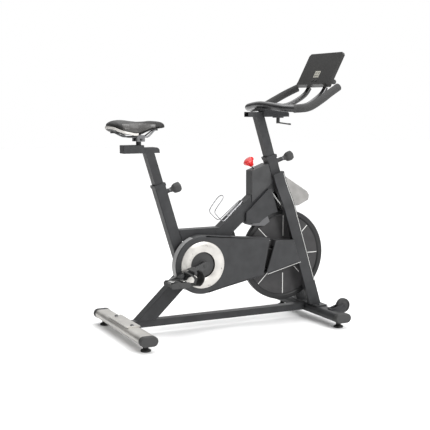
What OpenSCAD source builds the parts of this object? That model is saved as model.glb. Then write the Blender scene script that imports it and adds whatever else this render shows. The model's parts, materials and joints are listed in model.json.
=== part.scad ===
// Indoor cycle: welded tube frame on two stabilizers, belt driven flywheel, magnetic brake,
// sliding seat and handlebar posts, tilting console. Millimetres, +X forwards, +Y left, +Z up.

/* [Base] */
// Distance between the rear and the front stabilizer
wheelbase = 925; // [880:5:990]
// Length of each stabilizer, end caps included
stab_len = 590; // [520:5:660]
// Front to back size of a stabilizer
stab_w = 76; // [70:1:90]
// Height of a stabilizer's section
stab_h = 40; // [36:1:46]
// Height of the stabilizers' underside above the floor
foot_gap = 28; // [24:1:36]
// Radius of a levelling foot's pad
foot_r = 21.5; // [16:0.5:26]
// Radius of a transport wheel
wheel_r = 33; // [26:1:34]

/* [Frame] */
// Backward lean of the seat and handlebar tubes, in degrees
lean = 17.2; // [15:0.1:19]
// Rear stabilizer to crank axis
crank_x = 333; // [320:1:360]
// Height of the crank axis
crank_z = 302; // [290:1:330]
// Seat tube axis behind the crank axis
seat_setback = 64; // [60:1:72]
// Head tube axis ahead of the crank axis
head_ahead = 512; // [500:1:540]
// Width of the frame's square tubes
tube_w = 50; // [46:1:54]
// Depth of the seat and head tubes
tube_d = 50; // [46:1:54]
// Depth of the down tube
down_d = 62; // [56:1:66]
// Wall of the frame tubes
tube_wall = 2.5; // [2:0.1:3.5]
// Width of the sliding posts
post_w = 40; // [36:1:41]
// Depth of the sliding posts
post_d = 38; // [34:1:41]

/* [Drive] */
// Crank arm length, axis to pedal axis
crank_len = 165; // [150:1:175]
// Angle of the right crank below the rearward horizontal
crank_angle = 20; // [0:1:45]
// Flywheel radius
fly_r = 208; // [190:1:212]
// Flywheel axle ahead of the crank axis
fly_ahead = 443; // [436:1:448]
// Flywheel axle above the crank axis
fly_rise = 3; // [0:1:6]
// Crank pulley radius
big_pulley_r = 90; // [70:1:100]
// Flywheel pulley radius
small_pulley_r = 25; // [20:1:36]
// Belt width
belt_w = 14; // [10:1:16]

/* [Seat and handlebar] */
// Height of the seat rail's underside
seat_rail_z = 787; // [770:1:800]
// Height of the handlebar rail's underside
bar_rail_z = 935; // [920:1:950]
// Handlebar tube radius
bar_r = 15.5; // [13:0.5:16]
// Console width
console_w = 280; // [250:2:310]
// Console height along its face
console_h = 170; // [150:1:180]

/* [Hidden] */
$fn = 48;

// Clearances: a turning fit, a sliding fit, and pieces that stand beside each other
run_gap = 0.05;
slide_gap = 0.5;
near_gap = 1;

// Base
stab_top = foot_gap + stab_h;
stab_mid = foot_gap + stab_h / 2;
stab_wall = 2.5;
cap_len = 28;
cap_lip = 2;
foot_y = stab_len / 2 - 45;
foot_stem_r = 5;
rail_w = 40;
rail_h = 30;
plate_t = 5;
plate_w = 60;
plate_len = 230;
plate_bolt_y = 95;
bolt_r = 4;
hole_r = 4.3;
wheel_y = 190;
wheel_t = 24;
wheel_axle_r = 5;
// Angle and distance of a transport wheel from the round front of the stabilizer
wheel_rise = 38;
wheel_reach = stab_h / 2 + wheel_r + 3;
wheel_x = wheelbase + (stab_w - stab_h) / 2 + wheel_reach * cos(wheel_rise);
wheel_z = stab_mid + wheel_reach * sin(wheel_rise);
plug_len = 7;

// Frame axes: s is the distance along a leaning tube from the height of the crank axis
tan_l = tan(lean);
cos_l = cos(lean);
seat_x0 = crank_x - seat_setback;
head_x0 = crank_x + head_ahead;
seat_bottom_s = -115;
seat_top_s = 354;
head_bottom_s = 312;
head_top_s = 467;
collar_h = 14;
collar_lip = 1.5;
down_slope = 40.6;
down_drop = 10.7;
top_tube_top = crank_z + 150;
top_tube_h = 50;
leg_slope = 43.5;
leg_d = 60;
leg_x = crank_x - 250;
leg_z = crank_z - 245;
shell_r = 28;
shell_half = 42;
bearing_r = 21;
bearing_w = 12;
spindle_r = 10;

// Fork and flywheel
blade_d = 56;
blade_t = 26;
blade_in = 45;
fly_x = crank_x + fly_ahead;
fly_z = crank_z + fly_rise;
fly_axle_r = 10;
fly_bearing_r = 17.5;
boss_r = 24;
bracket_in = 39;
boss_in = 33;
boss_out = 51;

// Belt guard, all on the right side
guard_out = 86;
guard_in = 49;
guard_wall = 3;
guard_r = 128;
guard_hole_r = 57;
ring_r = 102;
pulley_y = 66;
belt_t = 3;
belt_gap = 0.4;
// Space that the covers leave round the belt
belt_room = 16;

// Cranks and pedals
arm_in = 97;
arm_t = 16;
arm_out = arm_in + arm_t;
pedal_axle_r = 6;
pedal_in = arm_out + 6;
pedal_w = 88;

// Seat
seat_post_bottom_s = 154;
seat_post_x = seat_x0 - (seat_rail_z - crank_z) * tan_l;
seat_rail_h = 24;
rail_wall = 3;
carriage_wall = 5;
carriage_rear = 76;
carriage_top = seat_rail_z + seat_rail_h + slide_gap + 10;
clamp_x = seat_post_x - 44;
clamp_z = carriage_top + 24;
clamp_pin_r = 4;
saddle_rail_r = 3.5;
saddle_rail_y = 22;
saddle_rear = -133;
saddle_rail_z = clamp_z + 11;
pin_r = 5;
seat_pin_s = seat_top_s - 30;

// Handlebar
bar_post_bottom_s = 380;
bar_post_x = head_x0 - (bar_rail_z - crank_z) * tan_l;
bar_rail_h = 22;
bar_carriage_top = bar_rail_z + bar_rail_h + slide_gap + 5;
bar_pin_s = head_top_s - 22;
inner_bar_r = 12;
pivot_x = bar_post_x + 315;
pivot_z = bar_rail_z + 155;
pivot_r = 6;
lug_y = 66;
lug_t = 8;
lug_r = 9;
pivot_nut_r = 11;
pivot_nut_y = 116;
console_lean = 27.4;
console_t = 14;
console_back = 13.9;
button_r = 6;

// Resistance control
rod_lean = 40;
rod_r = 5;
knob_x = crank_x + 299;
knob_z = crank_z + 398;

// The overall box is centred on the origin
x_front = wheel_x + wheel_r;
x_rear = clamp_x + saddle_rear;
x_mid = (x_front + x_rear) / 2;

function seat_x(z) = seat_x0 - (z - crank_z) * tan_l;
function head_x(z) = head_x0 - (z - crank_z) * tan_l;
function unit(v) = v / norm(v);
function arc(c, r, a0, a1, n) = [for (i = [0:n]) c + r * [cos(a0 + (a1 - a0) * i / n),
  sin(a0 + (a1 - a0) * i / n)]];
function spline(a, b, c, d, t) =
  0.5 * (2 * b + (c - a) * t + (2 * a - 5 * b + 4 * c - d) * t * t + (3 * b - a - 3 * c + d) * t * t * t);
function smooth_path(p, n) = concat(
  [for (i = [0:len(p) - 2]) for (k = [0:n - 1])
    spline(p[max(i - 1, 0)], p[i], p[i + 1], p[min(i + 2, len(p) - 1)], k / n)],
  [p[len(p) - 1]]);
function mirrored(p) = [for (i = [len(p) - 1:-1:0]) [p[i].x, -p[i].y, p[i].z]];
function tangent(p, i) = unit(p[min(i + 1, len(p) - 1)] - p[max(i - 1, 0)]);
function square_to(v, t) = unit(v - (v * t) * t);
function carried(p, ref) =
  [for (i = 0, u = square_to(ref, tangent(p, 0)); i < len(p); i = i + 1,
    u = square_to(u, tangent(p, min(i, len(p) - 1)))) u];
// Tangent point on a circle seen from a point outside it; side is +1 or -1
function touch(c, r, p, side) =
  let (d = p - c, a = atan2(d.y, d.x) + side * acos(r / norm(d))) c + r * [cos(a), sin(a)];

module bike() {
  translate([-x_mid, 0, 0]) children();
}

// Outline in X and Z, extruded from y0 to y1
module slab(y0, y1) {
  translate([0, y1, 0]) rotate([90, 0, 0]) linear_extrude(y1 - y0) children();
}

module disc_y(x, z, r, y0, y1) {
  translate([x, y1, z]) rotate([90, 0, 0]) cylinder(r = r, h = y1 - y0);
}

module both_sides() {
  children();
  mirror([0, 1, 0]) children();
}

module at_seat(s = 0) {
  translate([seat_x0, 0, crank_z]) rotate([0, -lean, 0]) translate([0, 0, s]) children();
}

module at_head(s = 0) {
  translate([head_x0, 0, crank_z]) rotate([0, -lean, 0]) translate([0, 0, s]) children();
}

// Bar along X in its own frame, at the down tube's slope, on the down tube's axis
module at_down() {
  translate([crank_x, 0, crank_z]) rotate([0, -down_slope, 0]) translate([0, 0, down_drop]) children();
}

module skin(rings) {
  n = len(rings);
  m = len(rings[0]);
  points = [for (r = rings) for (p = r) p];
  sides = [for (i = [0:n - 2]) for (j = [0:m - 1])
    [(i + 1) * m + j, (i + 1) * m + (j + 1) % m, i * m + (j + 1) % m, i * m + j]];
  start = [for (j = [0:m - 1]) j];
  end = [for (j = [m - 1:-1:0]) (n - 1) * m + j];
  polyhedron(points, concat(sides, [start, end]), convexity = 6);
}

module sweep(path, r, sides, ref) {
  u = carried(path, ref);
  skin([for (i = [0:len(path) - 1])
    let (w = cross(tangent(path, i), u[i]))
    [for (j = [0:sides - 1]) path[i] + r * (cos(360 * j / sides) * u[i] + sin(360 * j / sides) * w)]]);
}

module oval(w, h) {
  square([w - h, h], center = true);
  for (side = [-1, 1]) translate([side * (w - h) / 2, 0]) circle(d = h);
}

module stabilizer_form(x) {
  translate([x, 0, stab_mid]) slab(-stab_len / 2 + cap_len, stab_len / 2 - cap_len) oval(stab_w, stab_h);
}

module plate_holes(x) {
  for (side = [-1, 1]) translate([x, side * plate_bolt_y, stab_mid]) cylinder(r = hole_r, h = stab_h);
}

module stabilizer(x) {
  difference() {
    stabilizer_form(x);
    translate([x, 0, stab_mid]) slab(-stab_len, stab_len) oval(stab_w - 2 * stab_wall,
      stab_h - 2 * stab_wall);
    for (side = [-1, 1]) translate([x, side * foot_y, 0]) cylinder(r = foot_stem_r + run_gap, h = stab_mid);
    plate_holes(x);
  }
}

module rear_stabilizer() {
  color("silver") stabilizer(0);
}

module wheel_bracket() {
  arm_y = wheel_t / 2 + 1.5;
  arm = [
    [wheelbase - 8, stab_top],
    [wheelbase - 8, stab_top + 5],
    [wheel_x - 4, wheel_z + 11],
    [wheel_x + 9, wheel_z + 6],
    [wheel_x + 9, wheel_z - 8],
    [wheelbase + stab_w / 2 - 8, stab_mid - 8]
  ];
  difference() {
    union() {
      for (side = [-1, 1]) translate([0, side * (arm_y + 1.5), 0]) slab(-1.5, 1.5) polygon(arm);
      translate([wheelbase - 8, -arm_y, stab_top]) cube([12, 2 * arm_y, 4]);
      disc_y(wheel_x, wheel_z, wheel_axle_r, -arm_y - 6, arm_y + 6);
    }
    translate([0, -wheel_y, 0]) stabilizer_form(wheelbase);
  }
}

module front_stabilizer() {
  color("dimgray") {
    stabilizer(wheelbase);
    both_sides() translate([0, wheel_y, 0]) wheel_bracket();
  }
}

module end_caps() {
  color("black")
    for (x = [0, wheelbase]) both_sides() translate([x, 0, stab_mid]) {
      slab(stab_len / 2 - cap_len, stab_len / 2) oval(stab_w + cap_lip, stab_h + cap_lip);
      slab(stab_len / 2 - cap_len - plug_len, stab_len / 2 - cap_len)
        oval(stab_w - 2 * stab_wall - 0.6, stab_h - 2 * stab_wall - 0.6);
    }
}

module foot(x, y) {
  color("black") translate([x, y, 0]) {
    cylinder(r = foot_r, h = 8);
    translate([0, 0, 8]) cylinder(r1 = foot_r - 3, r2 = 11, h = 5);
    translate([0, 0, 13]) cylinder(r = 12, h = 7, $fn = 6);
    translate([0, 0, 20]) cylinder(r = foot_stem_r, h = stab_mid - 24);
  }
}

module transport_wheel(y) {
  color("dimgray") difference() {
    disc_y(wheel_x, wheel_z, wheel_r, y - wheel_t / 2, y + wheel_t / 2);
    disc_y(wheel_x, wheel_z, wheel_axle_r + run_gap, y - wheel_t, y + wheel_t);
    for (side = [-1, 1]) translate([wheel_x, y + side * wheel_t / 2, wheel_z]) rotate([90, 0, 0])
      difference() {
        cylinder(r = wheel_r - 8, h = 8, center = true);
        cylinder(r = 10, h = 10, center = true);
      }
  }
}

module frame_bolts() {
  color("silver") for (x = [0, wheelbase]) for (side = [-1, 1])
    translate([x, side * plate_bolt_y, 0]) {
      translate([0, 0, stab_top - 12]) cylinder(r = bolt_r, h = 12 + plate_t);
      translate([0, 0, stab_top + plate_t]) cylinder(r = 8, h = 5);
    }
}

module base_rail() {
  color("dimgray") difference() {
    union() {
      translate([0, -rail_w / 2, stab_top - rail_h]) cube([wheelbase, rail_w, rail_h]);
      for (x = [0, wheelbase]) translate([x - plate_w / 2, -plate_len / 2, stab_top])
        cube([plate_w, plate_len, plate_t]);
    }
    translate([0, -rail_w / 2 + tube_wall, stab_top - rail_h + tube_wall])
      cube([wheelbase, rail_w - 2 * tube_wall, rail_h - 2 * tube_wall]);
    stabilizer_form(0);
    stabilizer_form(wheelbase);
    plate_holes(0);
    plate_holes(wheelbase);
  }
}

// Closed box tube standing on Z = 0
module box_tube(d, w, len, wall) {
  difference() {
    translate([-d / 2, -w / 2, 0]) cube([d, w, len]);
    translate([-d / 2 + wall, -w / 2 + wall, -1]) cube([d - 2 * wall, w - 2 * wall, len + 2]);
  }
}

// Everything behind the seat tube's front face
module behind_seat_front() {
  at_seat(-600) translate([-600 + tube_d / 2, -150, 0]) cube([600, 300, 1400]);
}

module rear_leg() {
  color("dimgray") difference() {
    translate([leg_x, 0, leg_z]) rotate([0, 90 - leg_slope, 0]) translate([0, 0, -100])
      box_tube(leg_d, tube_w, 500, tube_wall);
    at_seat(-600) translate([-tube_d / 2, -150, 0]) cube([900, 300, 1400]);
    translate([-400, -150, -600]) cube([1400, 300, 600 + stab_top]);
    translate([-plate_w / 2, -plate_len / 2, stab_top]) cube([plate_w, plate_len, plate_t]);
  }
}

module seat_tube() {
  color("dimgray") difference() {
    union() {
      at_seat(seat_bottom_s) box_tube(tube_d, tube_w, seat_top_s - seat_bottom_s, tube_wall);
      at_seat(seat_pin_s) rotate([0, 90, 0]) translate([0, 0, tube_d / 2]) cylinder(r = 10, h = 14);
    }
    at_seat(seat_pin_s) rotate([0, 90, 0]) cylinder(r = pin_r + run_gap, h = 60);
  }
}

module top_tube() {
  color("dimgray") difference() {
    translate([0, -tube_w / 2, top_tube_top - top_tube_h]) difference() {
      translate([crank_x - 120, 0, 0]) cube([300, tube_w, top_tube_h]);
      translate([crank_x - 130, tube_wall, tube_wall])
        cube([320, tube_w - 2 * tube_wall, top_tube_h - 2 * tube_wall]);
    }
    behind_seat_front();
    at_down() translate([-300, -150, -down_d / 2 - 400]) cube([1200, 300, down_d + 400]);
  }
}

module rod_axis(from) {
  translate([knob_x, 0, knob_z]) rotate([0, -rod_lean, 0]) translate([0, 0, from]) children();
}

module down_tube() {
  color("dimgray") difference() {
    at_down() rotate([0, 90, 0]) translate([0, 0, -150]) box_tube(down_d, tube_w, 750, tube_wall);
    behind_seat_front();
    at_head(-600) translate([-tube_d / 2, -150, 0]) cube([900, 300, 1600]);
    disc_y(crank_x, crank_z, shell_r, -60, 60);
    rod_axis(-260) cylinder(r = rod_r + 2, h = 300);
    for (s = cage_bolt_s) at_down() translate([s, 0, down_d / 2 - 20]) cylinder(r = bolt_r + 0.3, h = 40);
  }
}

module bottom_bracket_shell() {
  color("dimgray") difference() {
    disc_y(crank_x, crank_z, shell_r, -shell_half, shell_half);
    disc_y(crank_x, crank_z, bearing_r, -shell_half - 1, shell_half + 1);
  }
}

module ring_y(x, z, ro, ri, y0, y1) {
  difference() {
    disc_y(x, z, ro, y0, y1);
    disc_y(x, z, ri, y0 - 1, y1 + 1);
  }
}

module bearings() {
  color("silver") both_sides() {
    ring_y(crank_x, crank_z, bearing_r, spindle_r + run_gap, shell_half - bearing_w - 2, shell_half - 2);
    ring_y(fly_x, fly_z, fly_bearing_r, fly_axle_r + run_gap, boss_in + 3, boss_out - 3);
  }
}

module head_tube() {
  color("dimgray") difference() {
    union() {
      at_head(head_bottom_s) box_tube(tube_d, tube_w, head_top_s - head_bottom_s, tube_wall);
      at_head(bar_pin_s) rotate([0, 90, 0]) translate([0, 0, tube_d / 2]) cylinder(r = 10, h = 34);
    }
    at_head(bar_pin_s) rotate([0, 90, 0]) cylinder(r = pin_r + run_gap, h = 80);
  }
}

// Blade outline across and along the leaning axis, thinned by wall on each side
module blade_outline(wall) {
  low = -320;
  high = 400 - wall;
  near = [[tube_w / 2, high], [tube_w / 2, 350], [30, 315], [39, 275], [blade_in, 235], [blade_in, low]];
  far = [for (i = [len(near) - 1:-1:0]) near[i] + [blade_t, 0]];
  inner = [for (p = near) p + [wall, 0]];
  outer = [for (p = far) p - [wall, 0]];
  polygon(concat(inner, outer));
}

module blade_form(wall) {
  at_head() translate([-blade_d / 2 + wall, 0, 0]) rotate([90, 0, 90])
    linear_extrude(blade_d - 2 * wall) blade_outline(wall);
}

module fork_blades() {
  color("dimgray") both_sides() difference() {
    blade_form(0);
    blade_form(tube_wall);
    translate([wheelbase - 300, -150, -600]) cube([600, 300, 600 + stab_top + plate_t]);
  }
}

module axle_brackets() {
  color("gray") both_sides() difference() {
    union() {
      slab(bracket_in, blade_in) {
        translate([fly_x, fly_z]) circle(r = boss_r);
        polygon([[fly_x, fly_z - 20], [head_x(fly_z) + 12, fly_z - 20], [head_x(fly_z) + 12, fly_z + 20],
          [fly_x, fly_z + 20]]);
      }
      disc_y(fly_x, fly_z, boss_r, boss_in, boss_out);
    }
    disc_y(fly_x, fly_z, fly_bearing_r, boss_in - 1, boss_out + 1);
  }
}

module collar(hole_w, hole_d) {
  difference() {
    union() {
      translate([-tube_d / 2 - collar_lip, -tube_w / 2 - collar_lip, 0])
        cube([tube_d + 2 * collar_lip, tube_w + 2 * collar_lip, collar_h]);
      translate([-tube_d / 2 + tube_wall + 0.2, -tube_w / 2 + tube_wall + 0.2, -14])
        cube([tube_d - 2 * tube_wall - 0.4, tube_w - 2 * tube_wall - 0.4, 15]);
    }
    translate([-hole_d / 2, -hole_w / 2, -20]) cube([hole_d, hole_w, 60]);
  }
}

module tube_collars() {
  color("black") {
    at_seat(seat_top_s) collar(post_w + 2 * slide_gap, post_d + 2 * slide_gap);
    at_head(head_top_s) collar(post_w + 2 * slide_gap, post_d + 2 * slide_gap);
  }
}

// Height of the down tube's upper face above x
function down_top(x) = crank_z + (x - crank_x) * tan(down_slope) + (down_drop + down_d / 2) / cos(down_slope);
function cover_front(z) = head_x(z) - (blade_d / 2 + 0.3) / cos_l;

cover_rear = knob_x - 30;
cover_top = knob_z - 3;
cover_half = 30;
cover_wall = 2.5;
module cover_outline(wall) {
  rear = cover_rear + wall;
  peak = cover_top + 30 - wall;
  polygon([
    [rear, down_top(rear) - 33],
    [rear, cover_top - wall],
    [rear + 18, cover_top + 6 - wall],
    [cover_front(peak), peak],
    [cover_front(knob_z - 56), knob_z - 56]
  ]);
}

module head_cover() {
  color("dimgray") difference() {
    slab(-cover_half, cover_half) cover_outline(0);
    slab(-cover_half + cover_wall, cover_half - cover_wall) {
      cover_outline(cover_wall);
      translate([cover_rear + 60, knob_z - 110]) square([200, 60]);
      polygon([[cover_rear + cover_wall, crank_z], [cover_rear + cover_wall, down_top(cover_rear)],
        [cover_front(knob_z), knob_z], [cover_front(knob_z) + 60, crank_z]]);
    }
    at_down() translate([-150, -tube_w / 2, -down_d / 2]) cube([750, tube_w, down_d]);
    rod_axis(-100) cylinder(r = rod_r + 1.5, h = 200);
  }
}

nose_ahead = 43;
nose_half = 42;
module nose_outline(wall) {
  z0 = knob_z - 168;
  rear = blade_d / 2 / cos_l;
  front = head_x0 + nose_ahead - wall;
  polygon([
    [head_x(z0 + wall) + rear, z0 + wall],
    [front - 52, z0 + wall],
    [front, z0 + 24],
    [front + 4, z0 + 46],
    [front - 8, z0 + 64 - wall],
    [head_x(z0 + 134) + rear + 4, z0 + 136 - wall],
    [head_x(z0 + 134) + rear, z0 + 134 - wall]
  ]);
}

module nose_housing() {
  color("gainsboro") difference() {
    slab(-nose_half, nose_half) nose_outline(0);
    slab(cover_wall - nose_half, nose_half - cover_wall) nose_outline(cover_wall);
  }
}

fender_half = 40;
fender_gap = 22;
fender_wall = 3;
fender_in = fender_half - fender_wall;
fender_rear = crank_x + 236;
fender_low = crank_z + 161;
fender_peak_x = crank_x + 348;
function blade_rear(z) = head_x(z) - (blade_d / 2 + near_gap) / cos_l;
module fender_outline(wall) {
  rear = fender_rear + wall;
  low = fender_low;
  peak = down_top(fender_peak_x) - 42;
  polygon(concat(
    [[rear, low], [rear, low + 48 - wall], [fender_peak_x, peak - wall],
      [blade_rear(peak - wall) - fender_gap, peak - wall],
      [blade_rear(low + 44) - fender_gap, low + 44]],
    arc([fly_x, fly_z], fly_r + 3, 110, 132, 8)));
}

module fender() {
  color("dimgray") {
    difference() {
      slab(-fender_half, fender_half) fender_outline(0);
      slab(-fender_in, fender_in) fender_outline(fender_wall);
      translate([fender_rear + fender_wall, -fender_in, fender_low - 61]) cube([300, 2 * fender_in, 70]);
      disc_y(fly_x, fly_z, fly_r + 6, -fender_in, fender_in);
      at_down() translate([-150, -tube_w / 2 - near_gap, -down_d / 2])
        cube([750, tube_w + 2 * near_gap, down_d + 60]);
    }
    disc_y(caliper_x, caliper_z, caliper_pin_r, -fender_in, fender_in);
  }
}

// Belt guard outline: a round end about the crank and two straight edges to the slanted joint
joint_top = [crank_x + 334, crank_z + 96];
joint_low = [crank_x + 301, crank_z - 71];
module guard_outline(wall) {
  c = [crank_x, crank_z];
  top = joint_top - [1.2 * wall, wall];
  low = joint_low + [-0.8 * wall, wall];
  r = guard_r - wall;
  translate(c) circle(r = r);
  polygon([c, touch(c, r, top, 1), top, low, touch(c, r, low, -1)]);
}

module front_outline(wall) {
  top = joint_top.y - 12 - wall;
  low = joint_top.y - 118 + wall;
  polygon([
    [joint_top.x + 27 + wall, top],
    [blade_rear(top), top - 4],
    [blade_rear(low), low],
    [joint_low.x + 14 + 2 * wall, joint_low.y + 8 + wall]
  ]);
}

module belt_guard() {
  color("dimgray") difference() {
    slab(-guard_out, -guard_in) guard_outline(0);
    slab(-guard_out + guard_wall, -guard_in + 1) guard_outline(guard_wall);
    disc_y(crank_x, crank_z, guard_hole_r, -guard_out - 1, -guard_in);
    slab(-pulley_y - belt_w, -guard_in + 1) belt_loop(belt_room);
  }
}

module front_guard() {
  color("dimgray") difference() {
    slab(-guard_out, -guard_in) front_outline(0);
    slab(-guard_out + guard_wall, -guard_in + 1) front_outline(guard_wall);
    slab(-pulley_y - belt_w, -guard_in + 1) belt_loop(belt_room);
  }
}

module guard_backplate() {
  color("black") difference() {
    slab(-guard_in, -guard_in + 3) {
      guard_outline(0);
      front_outline(0);
      polygon([joint_top - [10, 14], joint_top + [40, -20], joint_low + [30, 14], joint_low + [-10, 6]]);
    }
    disc_y(crank_x, crank_z, spindle_r + 4, -60, 0);
    disc_y(fly_x, fly_z, boss_r + near_gap, -60, 0);
  }
}

module guard_ring() {
  color("silver") translate([crank_x, -guard_out, crank_z]) rotate([90, 0, 0]) rotate_extrude()
    polygon(concat([[guard_hole_r, 0]], [[guard_hole_r, 3]],
      [for (i = [0:8]) let (t = i / 8) [guard_hole_r + 3 + t * (ring_r - guard_hole_r - 5),
        3 + 3 * sin(180 * t)]],
      [[ring_r, 2], [ring_r, 0]]));
}

// Filled belt outline, grown by g beyond the pulleys
module belt_loop(g) {
  a = [crank_x, crank_z];
  b = [fly_x, fly_z];
  ra = big_pulley_r + g;
  rb = small_pulley_r + g;
  d = norm(b - a);
  head = atan2(b.y - a.y, b.x - a.x);
  swing = acos((ra - rb) / d);
  up = [cos(head + swing), sin(head + swing)];
  down = [cos(head - swing), sin(head - swing)];
  translate(a) circle(r = ra);
  translate(b) circle(r = rb);
  polygon([a + ra * up, b + rb * up, b + rb * down, a + ra * down]);
}

module drive_belt() {
  color("black") slab(-pulley_y - belt_w / 2, -pulley_y + belt_w / 2) difference() {
    belt_loop(belt_gap + belt_t);
    belt_loop(belt_gap);
  }
}

// Bottle cage: one wire loop, s along the down tube and h above its upper face
cage_bolt_s = [262, 314];
cage_w = 27;
cage_half = [[290, 0, 90], [287, 14, 89], [272, cage_w, 86], [222, cage_w, 76], [207, cage_w, 67],
  [205, cage_w, 52], [209, cage_w, 18], [222, cage_w - 2, 7], [290, 19, 7], [336, 15, 7], [345, 7, 7],
    [346, 0, 7]];
module bottle_cage() {
  half = [for (p = cage_half) [p.x, p.y, p.z + down_d / 2]];
  color("silver") at_down() {
    sweep(smooth_path(concat(mirrored(half), [for (i = [1:len(half) - 1]) half[i]]), 3), 2.2, 8, [0.3,
      0.1, 1]);
    difference() {
      translate([cage_bolt_s[0] - 12, -15, down_d / 2]) cube([76, 30, 3]);
      for (s = cage_bolt_s) translate([s, 0, 0]) cylinder(r = bolt_r + 0.3, h = down_d);
    }
  }
}

// Tube with a rounded front top edge, from x0 to x1 on z, open at its rear end
module slide_rail(x0, x1, z, h, round_r) {
  difference() {
    slab(-post_w / 2, post_w / 2)
      polygon(concat([[x0, z + h], [x0, z], [x1, z]], arc([x1 - round_r, z + h - round_r], round_r, 0,
        90, 8)));
    translate([x0 - 1, -post_w / 2 + rail_wall, z + rail_wall])
      cube([x1 - x0 - round_r - rail_wall, post_w - 2 * rail_wall, h - 2 * rail_wall]);
  }
}

module cut_above(z) {
  difference() {
    children();
    translate([-200, -150, z]) cube([1600, 300, 400]);
  }
}

module seat_post() {
  color("dimgray") {
    cut_above(seat_rail_z) at_seat(seat_post_bottom_s) difference() {
      box_tube(post_d, post_w, 380, tube_wall);
      for (i = [0:9]) translate([0, 0, 20 + 25 * i]) rotate([0, 90, 0]) cylinder(r = pin_r + 0.3, h = post_d);
    }
    slide_rail(seat_post_x - 86, seat_post_x + 44, seat_rail_z, seat_rail_h, 16);
  }
}

// Upside down channel over a slide rail
module channel(x0, x1, z, h, top, rear_wall) {
  inner = post_w / 2 + slide_gap;
  outer = inner + carriage_wall;
  difference() {
    translate([x0, -outer, z]) cube([x1 - x0, 2 * outer, top - z]);
    translate([x0 + rear_wall, -inner, z - 1]) cube([x1 - x0, 2 * inner, h + slide_gap + 1]);
  }
}

module seat_carriage() {
  color("dimgray") difference() {
    union() {
      channel(clamp_x - carriage_rear, clamp_x + 16, seat_rail_z, seat_rail_h, carriage_top, 3);
      translate([clamp_x, 0, carriage_top]) cylinder(r = 11, h = clamp_z - carriage_top - 6);
      disc_y(clamp_x, clamp_z, 10, -13, 13);
      disc_y(clamp_x, clamp_z, clamp_pin_r, -36, 36);
    }
    translate([clamp_x - 40, 0, seat_rail_z + 13]) rotate([-90, 0, 0]) cylinder(r = 4 + run_gap, h = 60);
  }
}

module carriage_knob() {
  color("black") translate([clamp_x - 40, 0, seat_rail_z + 13]) rotate([-90, 0, 0]) {
    translate([0, 0, post_w / 2 + 0.3]) cylinder(r = 4, h = 16);
    translate([0, 0, post_w / 2 + 10]) cylinder(r = 8, h = 5);
    translate([0, 0, post_w / 2 + 14]) cylinder(r = 14, h = 14);
  }
}

module saddle_clamp() {
  color("gray") both_sides() difference() {
    translate([clamp_x - 17, 14.5, clamp_z - 9]) cube([34, 16, 27]);
    disc_y(clamp_x, clamp_z, clamp_pin_r + run_gap, 0, 60);
    disc_y(clamp_x, clamp_z, 10.5, 0, 14.6);
    translate([clamp_x - 40, saddle_rail_y, saddle_rail_z]) rotate([0, 90, 0])
      cylinder(r = saddle_rail_r + 0.25, h = 80);
  }
}

// Saddle stations: behind or ahead of the clamp, half width, underside and top above the clamp axis
saddle_table = [
  [saddle_rear, 34, 50, 66], [-126, 55, 47, 75], [-111, 73, 39, 81], [-90, 81, 32, 82], [-64, 77, 27, 79],
  [-38, 62, 22, 75], [-10, 44, 23, 72], [20, 31, 33, 73], [50, 24, 43, 76], [80, 20, 48, 78],
  [100, 17, 50, 76], [112, 12, 52, 69], [117, 6, 54, 62]
];

function saddle_ring(p, low, high, slim) = [for (j = [0:19])
  let (a = 180 * j / 19, y = (p[1] - slim) * cos(a), k = pow(sin(a), 0.6))
  [clamp_x + p[0], y, clamp_z + low + (high - low) * k]];

module saddle_shell() {
  color("black") difference() {
    union() {
      skin([for (p = saddle_table) saddle_ring(p, p[2] - 4, p[2] - 0.5, 1)]);
      both_sides() translate([clamp_x - 112, 24, clamp_z + 26]) cube([16, 14, 7]);
      translate([clamp_x + 68, -14, clamp_z + 36]) cube([14, 28, 9]);
    }
    saddle_rail_form();
  }
}

module saddle_cushion() {
  color("black") skin([for (p = saddle_table) saddle_ring(p, p[2], p[3], 0)]);
}

saddle_rail_path = [[-104, 31, 32], [-90, 30, 26], [-64, 25, 13], [-44, saddle_rail_y, 11],
  [-22, saddle_rail_y, 11], [22, saddle_rail_y, 11], [34, saddle_rail_y, 11.5], [48, 18, 21], [66, 12, 36],
  [78, 10, 41]];
module saddle_rail_form() {
  path = [for (p = saddle_rail_path) [clamp_x + p.x, p.y, clamp_z + p.z]];
  both_sides() sweep(smooth_path(path, 3), saddle_rail_r, 10, [0, 1, 0]);
}

module saddle_rails() {
  color("silver") saddle_rail_form();
}

// Spring pin on its own axis, tip just short of the post
module pop_pin(len) {
  translate([0, 0, post_d / 2 + 0.5]) cylinder(r = pin_r, h = len - post_d / 2 + 19.5);
  translate([0, 0, len - 6]) cylinder(r = 9, h = 5);
}

module bell_knob(len) {
  rotate_extrude() polygon([[pin_r + run_gap, len], [10, len], [12, len + 4], [13, len + 12], [20, len + 22],
    [22.5, len + 34], [21, len + 43], [15, len + 49], [0, len + 50], [0, len + 22], [pin_r + run_gap,
      len + 22]]);
}

seat_knob_at = 47;
bar_knob_at = 66;
module seat_pin() {
  color("dimgray") at_seat(seat_pin_s) rotate([0, 90, 0]) pop_pin(seat_knob_at);
}

module seat_knob() {
  color("black") at_seat(seat_pin_s) rotate([0, 90, 0]) bell_knob(seat_knob_at);
}

module bar_pin() {
  color("dimgray") at_head(bar_pin_s) rotate([0, 90, 0]) pop_pin(bar_knob_at);
}

module bar_knob() {
  color("black") at_head(bar_pin_s) rotate([0, 90, 0]) bell_knob(bar_knob_at);
}

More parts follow.
